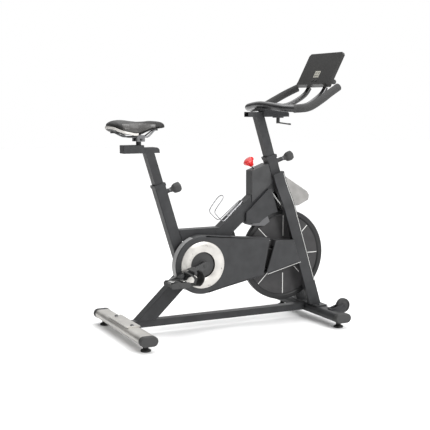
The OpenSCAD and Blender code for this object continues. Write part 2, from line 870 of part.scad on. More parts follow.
module handlebar_post() {
  color("dimgray") {
    cut_above(bar_rail_z) at_head(bar_post_bottom_s) difference() {
      box_tube(post_d, post_w, 320, tube_wall);
      for (i = [0:5]) translate([0, 0, 20 + 25 * i]) rotate([0, 90, 0]) cylinder(r = pin_r + 0.3, h = post_d);
    }
    slide_rail(bar_post_x - 62, bar_post_x + 146, bar_rail_z, bar_rail_h, 10);
  }
}

lever_x = bar_post_x + 100;
bar_block_rear = 8;
module handlebar_carriage() {
  color("dimgray") difference() {
    union() {
      channel(bar_post_x + 12, bar_post_x + 126, bar_rail_z, bar_rail_h, bar_carriage_top, 0);
      translate([bar_post_x - bar_block_rear, -24, bar_carriage_top]) cube([102, 48, 14]);
      translate([lever_x - 14, -25, bar_rail_z - 4 - slide_gap]) cube([28, 50, 4]);
      both_sides() translate([lever_x - 14, 20.5, bar_rail_z - 5]) cube([28, 5, 6]);
    }
    translate([lever_x, 0, bar_rail_z - 30]) cylinder(r = 4 + run_gap, h = 30 - slide_gap);
    handlebar_form();
  }
}

module lock_lever() {
  color("black") translate([lever_x, 0, bar_rail_z]) {
    translate([0, 0, -20]) cylinder(r = 4, h = 19);
    translate([0, 0, -30]) cylinder(r = 8, h = 25 - slide_gap);
    rotate([0, 8, 0]) translate([0, -5, -29]) cube([64, 10, 6]);
    rotate([0, 8, 0]) translate([64, 0, -29]) cylinder(r = 7, h = 7);
  }
}

// Handlebar points beyond the post, to the left, and above the handlebar rail's underside
bar_half = [[10, 0, 54], [14, 60, 51], [22, 130, 44], [44, 176, 39], [92, 205, 38], [140, 208, 46],
  [196, 203, 74], [250, 190, 104], [304, 174, 131]];
inner_bar = [[24, 100, 51], [80, 98, 46], [140, 92, 44], [196, 84, 50], [242, 76, 71], [284, 71, 100],
  [306, 70, 130]];
bar_sides = 18;
inner_bar_sides = 14;
bar_steps = 4;
grip_steps = 18;
grip_wall = 1.8;
function bar_place(p) = [bar_post_x + p.x, p.y, bar_rail_z + p.z];
function left_half() = [for (i = [1:len(bar_half) - 1]) bar_half[i]];
function full_bar() = smooth_path([for (p = concat(mirrored(bar_half), left_half())) bar_place(p)],
  bar_steps);

module handlebar_form() {
  sweep(full_bar(), bar_r, bar_sides, [0, 0, 1]);
  both_sides()
    sweep(smooth_path([for (p = inner_bar) bar_place(p)], 3), inner_bar_r, inner_bar_sides, [0, 1, 0]);
}

module handlebar() {
  color("dimgray") {
    handlebar_form();
    both_sides() {
      translate([pivot_x - 8, lug_y, pivot_z - 32]) cube([16, lug_t, 32]);
      disc_y(pivot_x, pivot_z, lug_r, lug_y, lug_y + lug_t);
      disc_y(pivot_x, pivot_z, pivot_r, 0, pivot_nut_y + 2);
      disc_y(pivot_x, pivot_z, pivot_nut_r, pivot_nut_y, pivot_nut_y + 12);
    }
  }
}

module bar_grips() {
  path = full_bar();
  n = len(path);
  tail = [for (i = [n - grip_steps:n - 1]) path[i]];
  color("black") difference() {
    both_sides() sweep(tail, bar_r + grip_wall, bar_sides, [0, 0, 1]);
    sweep(path, bar_r + 0.08, bar_sides, [0, 0, 1]);
  }
}

// Console frame: origin on the pivot, Z up the face, X out of the back
module at_console() {
  translate([pivot_x, 0, pivot_z]) rotate([0, console_lean, 0]) children();
}

console_low = -34;
console_corner = 11;
shelf_w = 224;
shelf_reach = 16;
shelf_h = 12;
ear_y = 40;
ear_t = 12;
screen_w = 46;
screen_h = 34;
screen_low = 10;
screen_gap = 0.2;
screen_t = 2;
button_y = 14;
button_z = -5;
module console_outline() {
  half = console_w / 2;
  polygon([[-half, 0], [half, 0], [half, console_h - console_corner], [half - console_corner, console_h],
    [-half + console_corner, console_h], [-half, console_h - console_corner]]);
}

module console_case() {
  color("dimgray") difference() {
    at_console() {
      translate([-console_back - console_t, 0, console_low]) rotate([90, 0, 90])
        linear_extrude(console_t) console_outline();
      translate([-console_back - console_t - shelf_reach, -shelf_w / 2, console_low])
        cube([shelf_reach + 0.5, shelf_w, shelf_h]);
      for (y = [-ear_y - ear_t, ear_y]) {
        translate([-console_back - 0.5, y, -11]) cube([console_back + 0.5, ear_t, 22]);
        disc_y(0, 0, 11, y, y + ear_t);
      }
    }
    disc_y(pivot_x, pivot_z, pivot_r + run_gap, -ear_y - ear_t - 5, ear_y + ear_t + 5);
    at_console() {
      translate([-console_back - console_t - 1, -screen_w / 2, screen_low]) cube([screen_t + 1, screen_w,
        screen_h]);
      for (side = [-1, 1]) translate([-console_back - console_t - 1, side * button_y, button_z])
        rotate([0, 90, 0]) cylinder(r = button_r + 0.3, h = 7);
    }
  }
}

module console_screen() {
  color("lightgray") at_console()
    translate([-console_back - console_t + screen_gap, screen_gap - screen_w / 2, screen_low + screen_gap])
      cube([screen_t - screen_gap, screen_w - 2 * screen_gap, screen_h - 2 * screen_gap]);
}

module button(side) {
  color("gray") at_console() translate([-console_back - console_t - 2, side * button_y, button_z])
    rotate([0, 90, 0]) cylinder(r = button_r, h = 5);
}

module crank_spindle() {
  color("silver") disc_y(crank_x, crank_z, spindle_r, -arm_out, arm_out);
}

module crank_pulley() {
  color("dimgray") difference() {
    union() {
      disc_y(crank_x, crank_z, big_pulley_r, -pulley_y - belt_w / 2 - 1, -pulley_y + belt_w / 2 + 1);
      disc_y(crank_x, crank_z, 22, -guard_out + 2, -pulley_y + belt_w / 2 + 3);
      disc_y(crank_x, crank_z, guard_hole_r - 3, -guard_out + 4, -guard_out + 8);
    }
    disc_y(crank_x, crank_z, spindle_r, -guard_out - 1, 0);
    for (i = [0:4]) translate([crank_x, 0, crank_z]) rotate([0, 72 * i, 0]) disc_y(58, 0, 18, -78, -40);
  }
}

module arm_outline() {
  circle(r = 18);
  translate([-crank_len, 0]) circle(r = 13);
  polygon([[0, 17], [-crank_len, 12.5], [-crank_len, -12.5], [0, -17]]);
}

// Right crank about the spindle, pointing back along -X
module crank_arm() {
  difference() {
    union() {
      slab(-arm_out, -arm_in) arm_outline();
      disc_y(0, 0, 16, -arm_in, -arm_in + 10);
      disc_y(-crank_len, 0, pedal_axle_r, -pedal_in - pedal_w - 1, -arm_out);
    }
    disc_y(0, 0, spindle_r, -200, 0);
  }
}

module crank_arms() {
  color("dimgray") translate([crank_x, 0, crank_z]) rotate([0, -crank_angle, 0]) {
    crank_arm();
    rotate([0, 0, 180]) crank_arm();
  }
}

function pedal_x(side) = crank_x - side * crank_len * cos(crank_angle);
function pedal_z(side) = crank_z - side * crank_len * sin(crank_angle);

// Pedal on the origin, outboard along -Y
module pedal_form() {
  y0 = -pedal_in - pedal_w;
  difference() {
    union() {
      disc_y(0, 0, 12, y0, -pedal_in);
      for (y = [y0, -pedal_in - 6]) slab(y, y + 6)
        polygon([[-43, -6], [-36, -12], [36, -12], [43, -6], [43, 6], [36, 12], [-36, 12], [-43, 6]]);
      for (x = [-43, 37]) translate([x, y0, -6]) cube([6, pedal_w, 12]);
      for (x = [-30, 22]) translate([x, y0, -10]) cube([8, pedal_w, 6]);
    }
    disc_y(0, 0, pedal_axle_r + run_gap, y0 - 1, 0);
  }
}

// Toe cage: a strip that rises from the pedal's front bar and curls back over the shoe
module toe_cage() {
  outer = concat([[43, -6]], arc([72, 24], 40, -62, 70, 10), [[60, 54]]);
  inner = concat([[60, 51]], arc([72, 24], 37, 70, -62, 10), [[43, -2]]);
  slab(-pedal_in - pedal_w + 10, -pedal_in - 10) polygon(concat(outer, inner));
}

module pedal_right() {
  color("black") translate([pedal_x(1), 0, pedal_z(1)]) {
    pedal_form();
    toe_cage();
  }
}

module pedal_left() {
  color("black") translate([pedal_x(-1), 0, pedal_z(-1)]) mirror([0, 1, 0]) {
    pedal_form();
    toe_cage();
  }
}

module flywheel() {
  color("dimgray") difference() {
    union() {
      disc_y(fly_x, fly_z, fly_r - 18, -7, 7);
      ring_y(fly_x, fly_z, fly_r, fly_r - 19, -13, 13);
      disc_y(fly_x, fly_z, 32, -26, 26);
    }
    disc_y(fly_x, fly_z, fly_axle_r, -40, 40);
  }
}

module flywheel_axle() {
  color("silver") {
    disc_y(fly_x, fly_z, fly_axle_r, -pulley_y - 12, boss_out + 4);
    disc_y(fly_x, fly_z, small_pulley_r, -pulley_y - belt_w / 2 - 1, -pulley_y + belt_w / 2 + 1);
  }
}

rod_len = 222;
// Room under the knob for the brake's push
knob_lift = 7;
module resistance_rod() {
  color("gray") difference() {
    union() {
      rod_axis(-rod_len) cylinder(r = rod_r, h = rod_len + knob_lift + 24);
      rod_axis(-rod_len - 20) translate([-22, -11, 0]) cube([44, 22, 20]);
    }
    disc_y(fly_x, fly_z, fly_r + 9, -40, 40);
  }
}

module resistance_knob() {
  color("red") rod_axis(knob_lift) rotate_extrude()
    polygon([[rod_r + run_gap, 16], [9, 16], [11, 22], [18, 32], [25, 38], [26, 46], [23, 52], [12, 55],
      [0, 55],
      [0, 26], [rod_r + run_gap, 26]]);
}

caliper_x = crank_x + 265;
caliper_z = crank_z + 160;
caliper_pin_r = 4;
module magnet_caliper() {
  arm = [[caliper_x - 9, caliper_z + 8], [caliper_x - 9, caliper_z - 8], [caliper_x + 6, caliper_z - 12],
    [fly_x - 105, fly_z + 140], [fly_x - 78, fly_z + 158], [fly_x - 96, fly_z + 203], [caliper_x + 20,
      caliper_z + 20]];
  color("gray") difference() {
    union() {
      both_sides() slab(17, 21) polygon(arm);
      difference() {
        slab(-19, 19) polygon(arm);
        disc_y(fly_x, fly_z, fly_r + 9, -30, 30);
      }
    }
    disc_y(caliper_x, caliper_z, caliper_pin_r + run_gap, -40, 40);
  }
}

bike() base_rail();
bike() rear_stabilizer();
bike() front_stabilizer();
bike() end_caps();
bike() frame_bolts();
bike() rear_leg();
bike() seat_tube();
bike() top_tube();
bike() down_tube();
bike() bottom_bracket_shell();
bike() bearings();
bike() head_tube();
bike() fork_blades();
bike() axle_brackets();
bike() tube_collars();
bike() head_cover();
bike() nose_housing();
bike() fender();
bike() guard_backplate();
bike() belt_guard();
bike() guard_ring();
bike() front_guard();
bike() drive_belt();
bike() bottle_cage();
bike() seat_post();
bike() seat_carriage();
bike() carriage_knob();
bike() saddle_clamp();
bike() saddle_rails();
bike() saddle_shell();
bike() saddle_cushion();
bike() seat_pin();
bike() seat_knob();
bike() handlebar_post();
bike() handlebar_carriage();
bike() handlebar();
bike() bar_grips();
bike() lock_lever();
bike() bar_pin();
bike() bar_knob();
bike() console_case();
bike() console_screen();
bike() button(-1);  // button_up
bike() button(1);  // button_down
bike() crank_spindle();
bike() crank_pulley();
bike() crank_arms();
bike() pedal_right();
bike() pedal_left();
bike() flywheel();
bike() flywheel_axle();
bike() resistance_rod();
bike() resistance_knob();
bike() magnet_caliper();
bike() foot(0, -foot_y);  // foot_rear_right
bike() foot(0, foot_y);  // foot_rear_left
bike() foot(wheelbase, -foot_y);  // foot_front_right
bike() foot(wheelbase, foot_y);  // foot_front_left
bike() transport_wheel(-wheel_y);  // wheel_right
bike() transport_wheel(wheel_y);  // wheel_left
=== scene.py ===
"""Finishes and detailed pieces of an indoor cycle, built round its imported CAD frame."""

import json
import logging
import math
from dataclasses import dataclass, field
from enum import Enum
from typing import Callable

import bmesh
import bpy
from mathutils import Matrix, Vector


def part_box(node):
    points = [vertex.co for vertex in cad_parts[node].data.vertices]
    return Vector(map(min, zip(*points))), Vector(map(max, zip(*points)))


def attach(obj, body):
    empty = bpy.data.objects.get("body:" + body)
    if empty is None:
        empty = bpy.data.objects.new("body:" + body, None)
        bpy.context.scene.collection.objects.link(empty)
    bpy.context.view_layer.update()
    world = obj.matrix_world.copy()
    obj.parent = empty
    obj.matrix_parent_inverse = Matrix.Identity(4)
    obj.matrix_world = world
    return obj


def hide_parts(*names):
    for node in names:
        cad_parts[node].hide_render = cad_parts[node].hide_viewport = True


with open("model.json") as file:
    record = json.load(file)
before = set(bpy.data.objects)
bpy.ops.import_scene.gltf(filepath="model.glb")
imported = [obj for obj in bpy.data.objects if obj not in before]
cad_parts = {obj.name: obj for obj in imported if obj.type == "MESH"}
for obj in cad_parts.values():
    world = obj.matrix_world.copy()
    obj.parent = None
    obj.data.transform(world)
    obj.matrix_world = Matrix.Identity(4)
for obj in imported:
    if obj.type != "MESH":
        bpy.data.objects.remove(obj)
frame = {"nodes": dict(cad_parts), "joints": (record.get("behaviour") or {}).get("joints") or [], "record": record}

log = logging.getLogger("indoor_cycle")

MM = 0.001
RIGHT, LEFT = -1, 1
JOINTS = {joint["name"]: joint for joint in frame["joints"]}
BODY_OF = {node: body for body, nodes in frame["record"]["behaviour"]["bodies"].items() for node in nodes}
SLOT_OF = {row["node"]: row["material_slot"] for row in frame["record"]["subparts"]}


class Grain(Enum):
    """Surface patterns that a finish can carry."""

    PEEL = "peel"
    BRUSHED = "brushed"
    LEATHER = "leather"
    FOAM = "foam"
    MOULDED = "moulded"
    CAST = "cast"
    FLAKE = "flake"


GRAIN_SIZE = {Grain.PEEL: 900.0, Grain.BRUSHED: 260.0, Grain.LEATHER: 620.0, Grain.FOAM: 1500.0,
              Grain.MOULDED: 1300.0, Grain.CAST: 700.0, Grain.FLAKE: 2600.0}


@dataclass(frozen=True)
class Finish:
    """One finish: its colour, gloss and grain."""

    name: str
    colour: tuple[float, float, float]
    roughness: float
    metallic: float = 0.0
    coat: float = 0.0
    sheen: float = 0.0
    grain: Grain = Grain.PEEL
    relief: float = 0.15
    mottle: float = 0.12
    shine: float = 0.5

    def material(self) -> bpy.types.Material:
        """Makes the material once and returns it.

        Returns:
            The node material of this finish.
        """
        made = bpy.data.materials.get(self.name)
        if made is not None:
            return made
        made = bpy.data.materials.new(self.name)
        made.use_nodes = True
        nodes, links = made.node_tree.nodes, made.node_tree.links
        shader = nodes["Principled BSDF"]
        shader.inputs["Metallic"].default_value = self.metallic
        shader.inputs["Specular IOR Level"].default_value = self.shine
        shader.inputs["Coat Weight"].default_value = self.coat
        shader.inputs["Coat Roughness"].default_value = 0.25
        shader.inputs["Sheen Weight"].default_value = self.sheen
        place = nodes.new("ShaderNodeTexCoord")
        stretch = nodes.new("ShaderNodeMapping")
        if self.grain is Grain.BRUSHED:
            stretch.inputs["Scale"].default_value = (1.0, 8.0, 8.0)
        links.new(place.outputs["Object"], stretch.inputs["Vector"])
        self._colour(nodes, links, stretch, shader)
        self._relief(nodes, links, stretch, shader)
        return made

    def _colour(self, nodes, links, stretch, shader) -> None:
        """Adds soft shade and gloss variation, from dust and handling."""
        cloud = nodes.new("ShaderNodeTexNoise")
        cloud.inputs["Scale"].default_value = 22.0
        cloud.inputs["Detail"].default_value = 5.0
        links.new(stretch.outputs["Vector"], cloud.inputs["Vector"])
        shade = nodes.new("ShaderNodeValToRGB")
        low = tuple(c * (1.0 - self.mottle) for c in self.colour)
        high = tuple(min(1.0, c * (1.0 + self.mottle)) for c in self.colour)
        shade.color_ramp.elements[0].position = 0.35
        shade.color_ramp.elements[0].color = (*low, 1.0)
        shade.color_ramp.elements[1].position = 0.65
        shade.color_ramp.elements[1].color = (*high, 1.0)
        links.new(cloud.outputs["Fac"], shade.inputs["Fac"])
        links.new(shade.outputs["Color"], shader.inputs["Base Color"])
        gloss = nodes.new("ShaderNodeMapRange")
        gloss.inputs["From Min"].default_value = 0.3
        gloss.inputs["From Max"].default_value = 0.7
        gloss.inputs["To Min"].default_value = max(0.03, self.roughness - 0.05)
        gloss.inputs["To Max"].default_value = min(1.0, self.roughness + 0.07)
        links.new(cloud.outputs["Fac"], gloss.inputs["Value"])
        links.new(gloss.outputs["Result"], shader.inputs["Roughness"])

    def _relief(self, nodes, links, stretch, shader) -> None:
        """Adds the fine surface grain as a bump."""
        if self.grain in (Grain.LEATHER, Grain.CAST):
            pattern = nodes.new("ShaderNodeTexVoronoi")
            pattern.feature = "SMOOTH_F1"
            output = "Distance"
        else:
            pattern = nodes.new("ShaderNodeTexNoise")
            pattern.inputs["Detail"].default_value = 3.0
            output = "Fac"
        pattern.inputs["Scale"].default_value = GRAIN_SIZE[self.grain]
        links.new(stretch.outputs["Vector"], pattern.inputs["Vector"])
        bump = nodes.new("ShaderNodeBump")
        bump.inputs["Strength"].default_value = self.relief
        bump.inputs["Distance"].default_value = 0.0004
        links.new(pattern.outputs[output], bump.inputs["Height"])
        links.new(bump.outputs["Normal"], shader.inputs["Normal"])


POWDER_COAT = Finish("powder_coat", (0.034, 0.0345, 0.036), 0.42, relief=0.12, shine=0.18)
BASE_SILVER = Finish("base_silver", (0.40, 0.388, 0.365), 0.34, metallic=0.6, grain=Grain.FLAKE)
SHROUD = Finish("satin_shroud", (0.034, 0.0345, 0.036), 0.38, grain=Grain.MOULDED, relief=0.1, shine=0.2)
# Light grey for the belt guard's rear wall: a painted highlight, where light from behind catches that wall.
SHROUD_PAINTED_HIGHLIGHT = Finish("shroud_painted_highlight", (0.30, 0.30, 0.30), 0.42, grain=Grain.MOULDED, relief=0.1)
COVER_GREY = Finish("cover_grey", (0.045, 0.0455, 0.0465), 0.4, grain=Grain.MOULDED, relief=0.1, shine=0.2)
NOSE_SILVER = Finish("nose_silver", (0.26, 0.254, 0.245), 0.36, metallic=0.3, grain=Grain.FLAKE,
                     relief=0.06)
RING_SILVER = Finish("ring_silver", (0.50, 0.485, 0.46), 0.3, metallic=0.5, grain=Grain.FLAKE, relief=0.05)
BLACK_PLASTIC = Finish("black_plastic", (0.012, 0.012, 0.0125), 0.42, grain=Grain.MOULDED, relief=0.12,
                       shine=0.25)
DARK_STEEL = Finish("dark_steel", (0.09, 0.09, 0.1), 0.33, metallic=0.8, grain=Grain.BRUSHED, relief=0.12)
BRIGHT_STEEL = Finish("bright_steel", (0.62, 0.62, 0.61), 0.24, metallic=1.0, grain=Grain.BRUSHED,
                      relief=0.1)
WHEEL_IRON = Finish("wheel_iron", (0.04, 0.039, 0.04), 0.48, grain=Grain.CAST, relief=0.12, shine=0.25)
WHEEL_RIM = Finish("wheel_rim", (0.012, 0.012, 0.0125), 0.36, relief=0.1, shine=0.35)
# White for the flywheel's printed marks, and for the thin lines that are painted highlights on the fork blades and
# the front guard.
WHITE_MARK_AND_HIGHLIGHT = Finish("white_mark_and_highlight", (0.75, 0.75, 0.73), 0.4, grain=Grain.PEEL, relief=0.05, mottle=0.04)
KNOB_RED = Finish("knob_red", (0.62, 0.022, 0.022), 0.32, coat=0.3, grain=Grain.MOULDED, relief=0.05)
TREAD_RUBBER = Finish("tread_rubber", (0.014, 0.014, 0.014), 0.72, grain=Grain.FOAM, relief=0.25)
GRIP_FOAM = Finish("grip_foam", (0.014, 0.014, 0.0145), 0.75, sheen=0.06, grain=Grain.FOAM, relief=0.6,
                   shine=0.15)
BAR_PAINT = Finish("bar_paint", (0.015, 0.015, 0.016), 0.28, coat=0.25, relief=0.08)
SADDLE_TOP = Finish("saddle_top", (0.012, 0.0115, 0.011), 0.48, sheen=0.03, grain=Grain.LEATHER,
                    relief=0.3, shine=0.3)
# Lighter grey for the saddle's smoother side panels: the panels are real, and the lighter grey is painted sheen
# from the light along them.
SADDLE_SIDE_AND_SHEEN = Finish("saddle_side_and_sheen", (0.04, 0.038, 0.036), 0.32, sheen=0.06, grain=Grain.LEATHER,
                     relief=0.15)
TRIM_SILVER = Finish("trim_silver", (0.6, 0.58, 0.55), 0.34, metallic=0.3, grain=Grain.FLAKE, relief=0.05)
CONSOLE_FACE = Finish("console_face", (0.026, 0.0255, 0.025), 0.38, grain=Grain.MOULDED, relief=0.1,
                      shine=0.2)
DISPLAY = Finish("display", (0.36, 0.35, 0.3), 0.22, coat=0.5, grain=Grain.MOULDED, relief=0.02)
CAGE_WIRE = Finish("cage_wire", (0.30, 0.30, 0.31), 0.3, metallic=0.9, grain=Grain.BRUSHED, relief=0.1)
NOSE_DARK = Finish("nose_dark", (0.09, 0.089, 0.088), 0.36, grain=Grain.MOULDED, relief=0.08)
SEGMENT = Finish("segment", (0.05, 0.05, 0.045), 0.3, grain=Grain.MOULDED, relief=0.02)


def object_mode() -> None:
    """Leaves edit mode and deselects everything."""
    if bpy.context.mode != "OBJECT":
        bpy.ops.object.mode_set(mode="OBJECT")
    bpy.ops.object.select_all(action="DESELECT")


def take(piece: bpy.types.Object) -> None:
    """Makes one piece the only selected and the active one."""
    object_mode()
    piece.select_set(True)
    bpy.context.view_layer.objects.active = piece


def edit(piece: bpy.types.Object, mode: str = "VERT") -> bmesh.types.BMesh:
    """Enters edit mode on a piece with all of it selected.

    Args:
        piece: The object to edit.
        mode: The kind of element to select, VERT, EDGE or FACE.

    Returns:
        The edit mesh, for choosing elements by place or normal.
    """
    take(piece)
    bpy.ops.object.mode_set(mode="EDIT")
    bpy.ops.mesh.select_mode(type=mode)
    bpy.ops.mesh.select_all(action="SELECT")
    return bmesh.from_edit_mesh(piece.data)


def named(piece: bpy.types.Object, name: str) -> bpy.types.Object:
    """Gives a piece and its mesh their name, and returns it."""
    piece.name = name
    piece.data.name = name
    return piece


def apply_all(piece: bpy.types.Object) -> None:
    """Applies every modifier of a piece, in order."""
    take(piece)
    for modifier in list(piece.modifiers):
        bpy.ops.object.modifier_apply(modifier=modifier.name)


def finish_shading(piece: bpy.types.Object, angle: float = 35.0) -> None:
    """Shades a piece smooth up to an angle, and keeps its flat faces flat."""
    edit(piece, "FACE")
    bpy.ops.mesh.select_all(action="DESELECT")
    bpy.ops.mesh.select_face_by_sides(number=4, type="GREATER")
    bpy.ops.mesh.quads_convert_to_tris(quad_method="BEAUTY", ngon_method="BEAUTY")
    take(piece)
    bpy.ops.object.shade_smooth_by_angle(angle=math.radians(angle))
    piece.modifiers.new("flat_faces", "WEIGHTED_NORMAL").keep_sharp = True
    apply_all(piece)


def placed(piece: bpy.types.Object, matrix: Matrix) -> bpy.types.Object:
    """Puts a piece in place and applies that place to its mesh."""
    take(piece)
    piece.matrix_world = matrix
    bpy.ops.object.transform_apply(location=True, rotation=True, scale=True)
    return piece


def mount(piece: bpy.types.Object, finish: Finish, body: str, slot: str, *nodes: str) -> bpy.types.Object:
    """Dresses a piece and fixes it to its body.

    Args:
        piece: The finished mesh object.
        finish: The finish it takes.
        body: The CAD body it moves with.
        slot: The record's material slot; not used.
        nodes: The CAD nodes that it stands for.

    Returns:
        The same piece.
    """
    if not piece.data.materials:
        piece.data.materials.append(finish.material())
    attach(piece, body)
    if nodes:
        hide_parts(*nodes)
    log.info("%s rides on %s in %s", piece.name, body, finish.name)
    return piece


def along(axis: Vector, origin: Vector) -> Matrix:
    """The place whose local Z runs along axis from origin."""
    return Matrix.Translation(origin) @ Vector(axis).to_track_quat("Z", "Y").to_matrix().to_4x4()


def turned(name: str, profile: list[tuple[float, float]], steps: int = 56) -> bpy.types.Object:
    """Turns a profile about local Z, as on a lathe.

    Args:
        name: The new piece's name.
        profile: Radius and height of each point, in metres, along the outline.
        steps: Number of facets round the axis.

    Returns:
        The closed turned piece, standing at the origin.
    """
    object_mode()
    bpy.ops.mesh.primitive_plane_add(size=MM)
    piece = named(bpy.context.object, name)
    edit(piece)
    bpy.ops.mesh.merge(type="CENTER")
    at = Vector((profile[0][0], 0.0, profile[0][1]))
    bpy.ops.transform.translate(value=at)
    for radius, height in profile[1:]:
        to = Vector((radius, 0.0, height))
        bpy.ops.mesh.extrude_region_move(TRANSFORM_OT_translate={"value": to - at})
        at = to
    bpy.ops.mesh.select_all(action="SELECT")
    bpy.ops.mesh.spin(steps=steps, angle=math.tau, center=(0, 0, 0), axis=(0, 0, 1))
    bpy.ops.mesh.select_all(action="SELECT")
    bpy.ops.mesh.remove_doubles(threshold=0.00002)
    bpy.ops.mesh.normals_make_consistent(inside=False)
    object_mode()
    return piece


def curved(points: list[Vector], steps: int = 8, closed: bool = False) -> list[Vector]:
    """Smooths a route of points with a Catmull-Rom curve.

    Args:
        points: The route's own points.
        steps: Number of short runs between two points.
        closed: Whether the route joins up.

    Returns:
        The points of the smooth route.
    """
    count = len(points)
    route = []
    for i in range(count if closed else count - 1):
        a, b, c, d = (points[(i + k) % count] if closed else points[min(max(i + k, 0), count - 1)]
                      for k in (-1, 0, 1, 2))
        for k in range(steps):
            t = k / steps
            route.append(0.5 * (2 * b + (c - a) * t + (2 * a - 5 * b + 4 * c - d) * t * t
                                + (3 * b - a - 3 * c + d) * t ** 3))
    if not closed:
        route.append(points[-1])
    return route


def swept(name: str, route: list[Vector], radius: float, closed: bool = False, rise: float = 0.0,
          roundness: int = 5) -> bpy.types.Object:
    """Sweeps a round wire, or a round-edged band, along a route.

    Args:
        name: The new piece's name.
        route: The centre line's points.
        radius: The wire's radius, or half the band's thickness.
        closed: Whether the route joins up.
        rise: Half the band's height, or 0 for a round wire.
        roundness: How finely the wire's section is rounded.

    Returns:
        The swept piece as a mesh.
    """
    object_mode()
    bpy.ops.curve.primitive_bezier_curve_add()
    piece = bpy.context.object
    line = piece.data
    line.splines.clear()
    spline = line.splines.new("POLY")
    spline.points.add(len(route) - 1)
    for point, place in zip(spline.points, route):
        point.co = (*place, 1.0)
    spline.use_cyclic_u = closed
    line.dimensions = "3D"
    line.twist_mode = "Z_UP" if rise else "MINIMUM"
    line.bevel_depth = radius
    line.bevel_resolution = roundness
    line.extrude = rise
    line.use_fill_caps = True
    bpy.ops.object.convert(target="MESH")
    piece = named(bpy.context.object, name)
    edit(piece)
    bpy.ops.mesh.remove_doubles(threshold=0.00001)
    bpy.ops.mesh.normals_make_consistent(inside=False)
    object_mode()
    return placed(piece, Matrix.Identity(4))


def copied(node: str, name: str, holed: bool = False) -> bpy.types.Object:
    """Copies a CAD node's mesh and joins its loose triangles into larger faces.

    Args:
        node: The CAD node to copy.
        name: The new piece's name.
        holed: Whether flat faces have holes in them, so triangles are only paired.

    Returns:
        The copy, with no material.
    """
    piece = bpy.data.objects.new(name, frame["nodes"][node].data.copy())
    bpy.context.scene.collection.objects.link(piece)
    named(piece, name).data.materials.clear()
    take(piece)
    bpy.ops.mesh.customdata_custom_splitnormals_clear()
    edit(piece)
    bpy.ops.mesh.remove_doubles(threshold=0.00002)
    if holed:
        bpy.ops.mesh.tris_convert_to_quads(face_threshold=math.radians(0.6), shape_threshold=math.pi)
    else:
        bpy.ops.mesh.dissolve_limited(angle_limit=math.radians(0.6))
    object_mode()
    return piece


def round_edges(piece: bpy.types.Object, radius: float, segments: int = 3, longer: float = 0.0,
                where: Callable[[Vector], bool] | None = None) -> None:
    """Rounds the outer corners of a piece.

    Args:
        piece: The piece to round.
        radius: How far the rounding reaches from each corner, in metres.
        segments: Facets across the rounding.
        longer: Only corners at least this long are rounded.
        where: Chooses corners by the middle of each one.
    """
    mesh = edit(piece, "EDGE")
    bpy.ops.mesh.select_all(action="DESELECT")
    count = 0
    for edge in mesh.edges:
        if len(edge.link_faces) != 2 or not edge.is_convex or edge.calc_length() < longer:
            continue
        if edge.calc_face_angle() < math.radians(28):
            continue
        middle = (edge.verts[0].co + edge.verts[1].co) / 2
        if where is None or where(middle):
            edge.select_set(True)
            count += 1
    bmesh.update_edit_mesh(piece.data)
    if count:
        bpy.ops.mesh.bevel(offset_type="OFFSET", offset=radius, segments=segments, affect="EDGES",
                           clamp_overlap=True)
    object_mode()


@dataclass(frozen=True)
class Softened:
    """A CAD node shown as a copy with rounded corners."""

    node: str
    finish: Finish
    radius: float = 0.8 * MM
    longer: float = 0.0
    segments: int = 2
    holed: bool = False

    def make(self) -> bpy.types.Object:
        """Copies the node, rounds it and puts it on its body.

        Returns:
            The piece that stands for the node.
        """
        piece = copied(self.node, f"{self.node}_shell", self.holed)
        round_edges(piece, self.radius, self.segments, self.longer)
        finish_shading(piece)
        return mount(piece, self.finish, BODY_OF[self.node], SLOT_OF[self.node], self.node)


def joint_place(name: str) -> Vector:
    """A joint's point at rest, in metres."""
    return Vector(JOINTS[name]["pos_m"])


def joint_axis(name: str) -> Vector:
    """A joint's direction."""
    return Vector(JOINTS[name]["axis"]).normalized()


@dataclass
class TubeFrame:
    """The welded frame, its posts and the fork."""

    tube_round: float = 5 * MM
    post_round: float = 4 * MM
    long_edge: float = 54 * MM

    def make(self) -> None:
        """Rounds the tubes and adds a thin white line down each fork blade, a painted highlight."""
        for node in ("rear_leg", "seat_tube", "top_tube", "down_tube", "head_tube"):
            Softened(node, POWDER_COAT, self.tube_round, self.long_edge, 4).make()
        Softened("fork_blades", POWDER_COAT, 3 * MM, 34 * MM, 4).make()
        for node in ("seat_post", "handlebar_post"):
            Softened(node, POWDER_COAT, self.post_round, 30 * MM, 4).make()
        for node in ("seat_carriage", "handlebar_carriage"):
            Softened(node, POWDER_COAT, 2 * MM, 24 * MM, 3).make()
        for node in ("bottom_bracket_shell", "axle_brackets"):
            Softened(node, POWDER_COAT).make()
        Softened("tube_collars", POWDER_COAT, 1.2 * MM, 12 * MM).make()
        Softened("bearings", BRIGHT_STEEL).make()
        for side in (RIGHT, LEFT):
            self.blade_highlight(side)

    def blade_highlight(self, side: int) -> None:
        """Lays a thin white line along a blade's front corner: a painted highlight where the corner catches the
        light.

        Args:
            side: RIGHT or LEFT.
        """
        lean = joint_axis("bar_height")
        ahead = joint_axis("bar_pin_pull")
        foot = joint_place("crank_spin") + Vector((0.512, 0, 0))
        stations = ((0.392, 0.0512), (0.352, 0.0514), (0.315, 0.0562), (0.275, 0.0652), (0.235, 0.0712),
                    (0.1, 0.0712), (-0.13, 0.0712))
        route = [foot + s * lean + 0.0235 * ahead + Vector((0, side * y, 0)) for s, y in stations]
        name = "blade_highlight_right" if side == RIGHT else "blade_highlight_left"
        piece = swept(name, route, 0.9 * MM, roundness=3)
        finish_shading(piece)
        # Painted highlight along the blade's front corner.
        mount(piece, WHITE_MARK_AND_HIGHLIGHT, "frame", "silver_plastic")


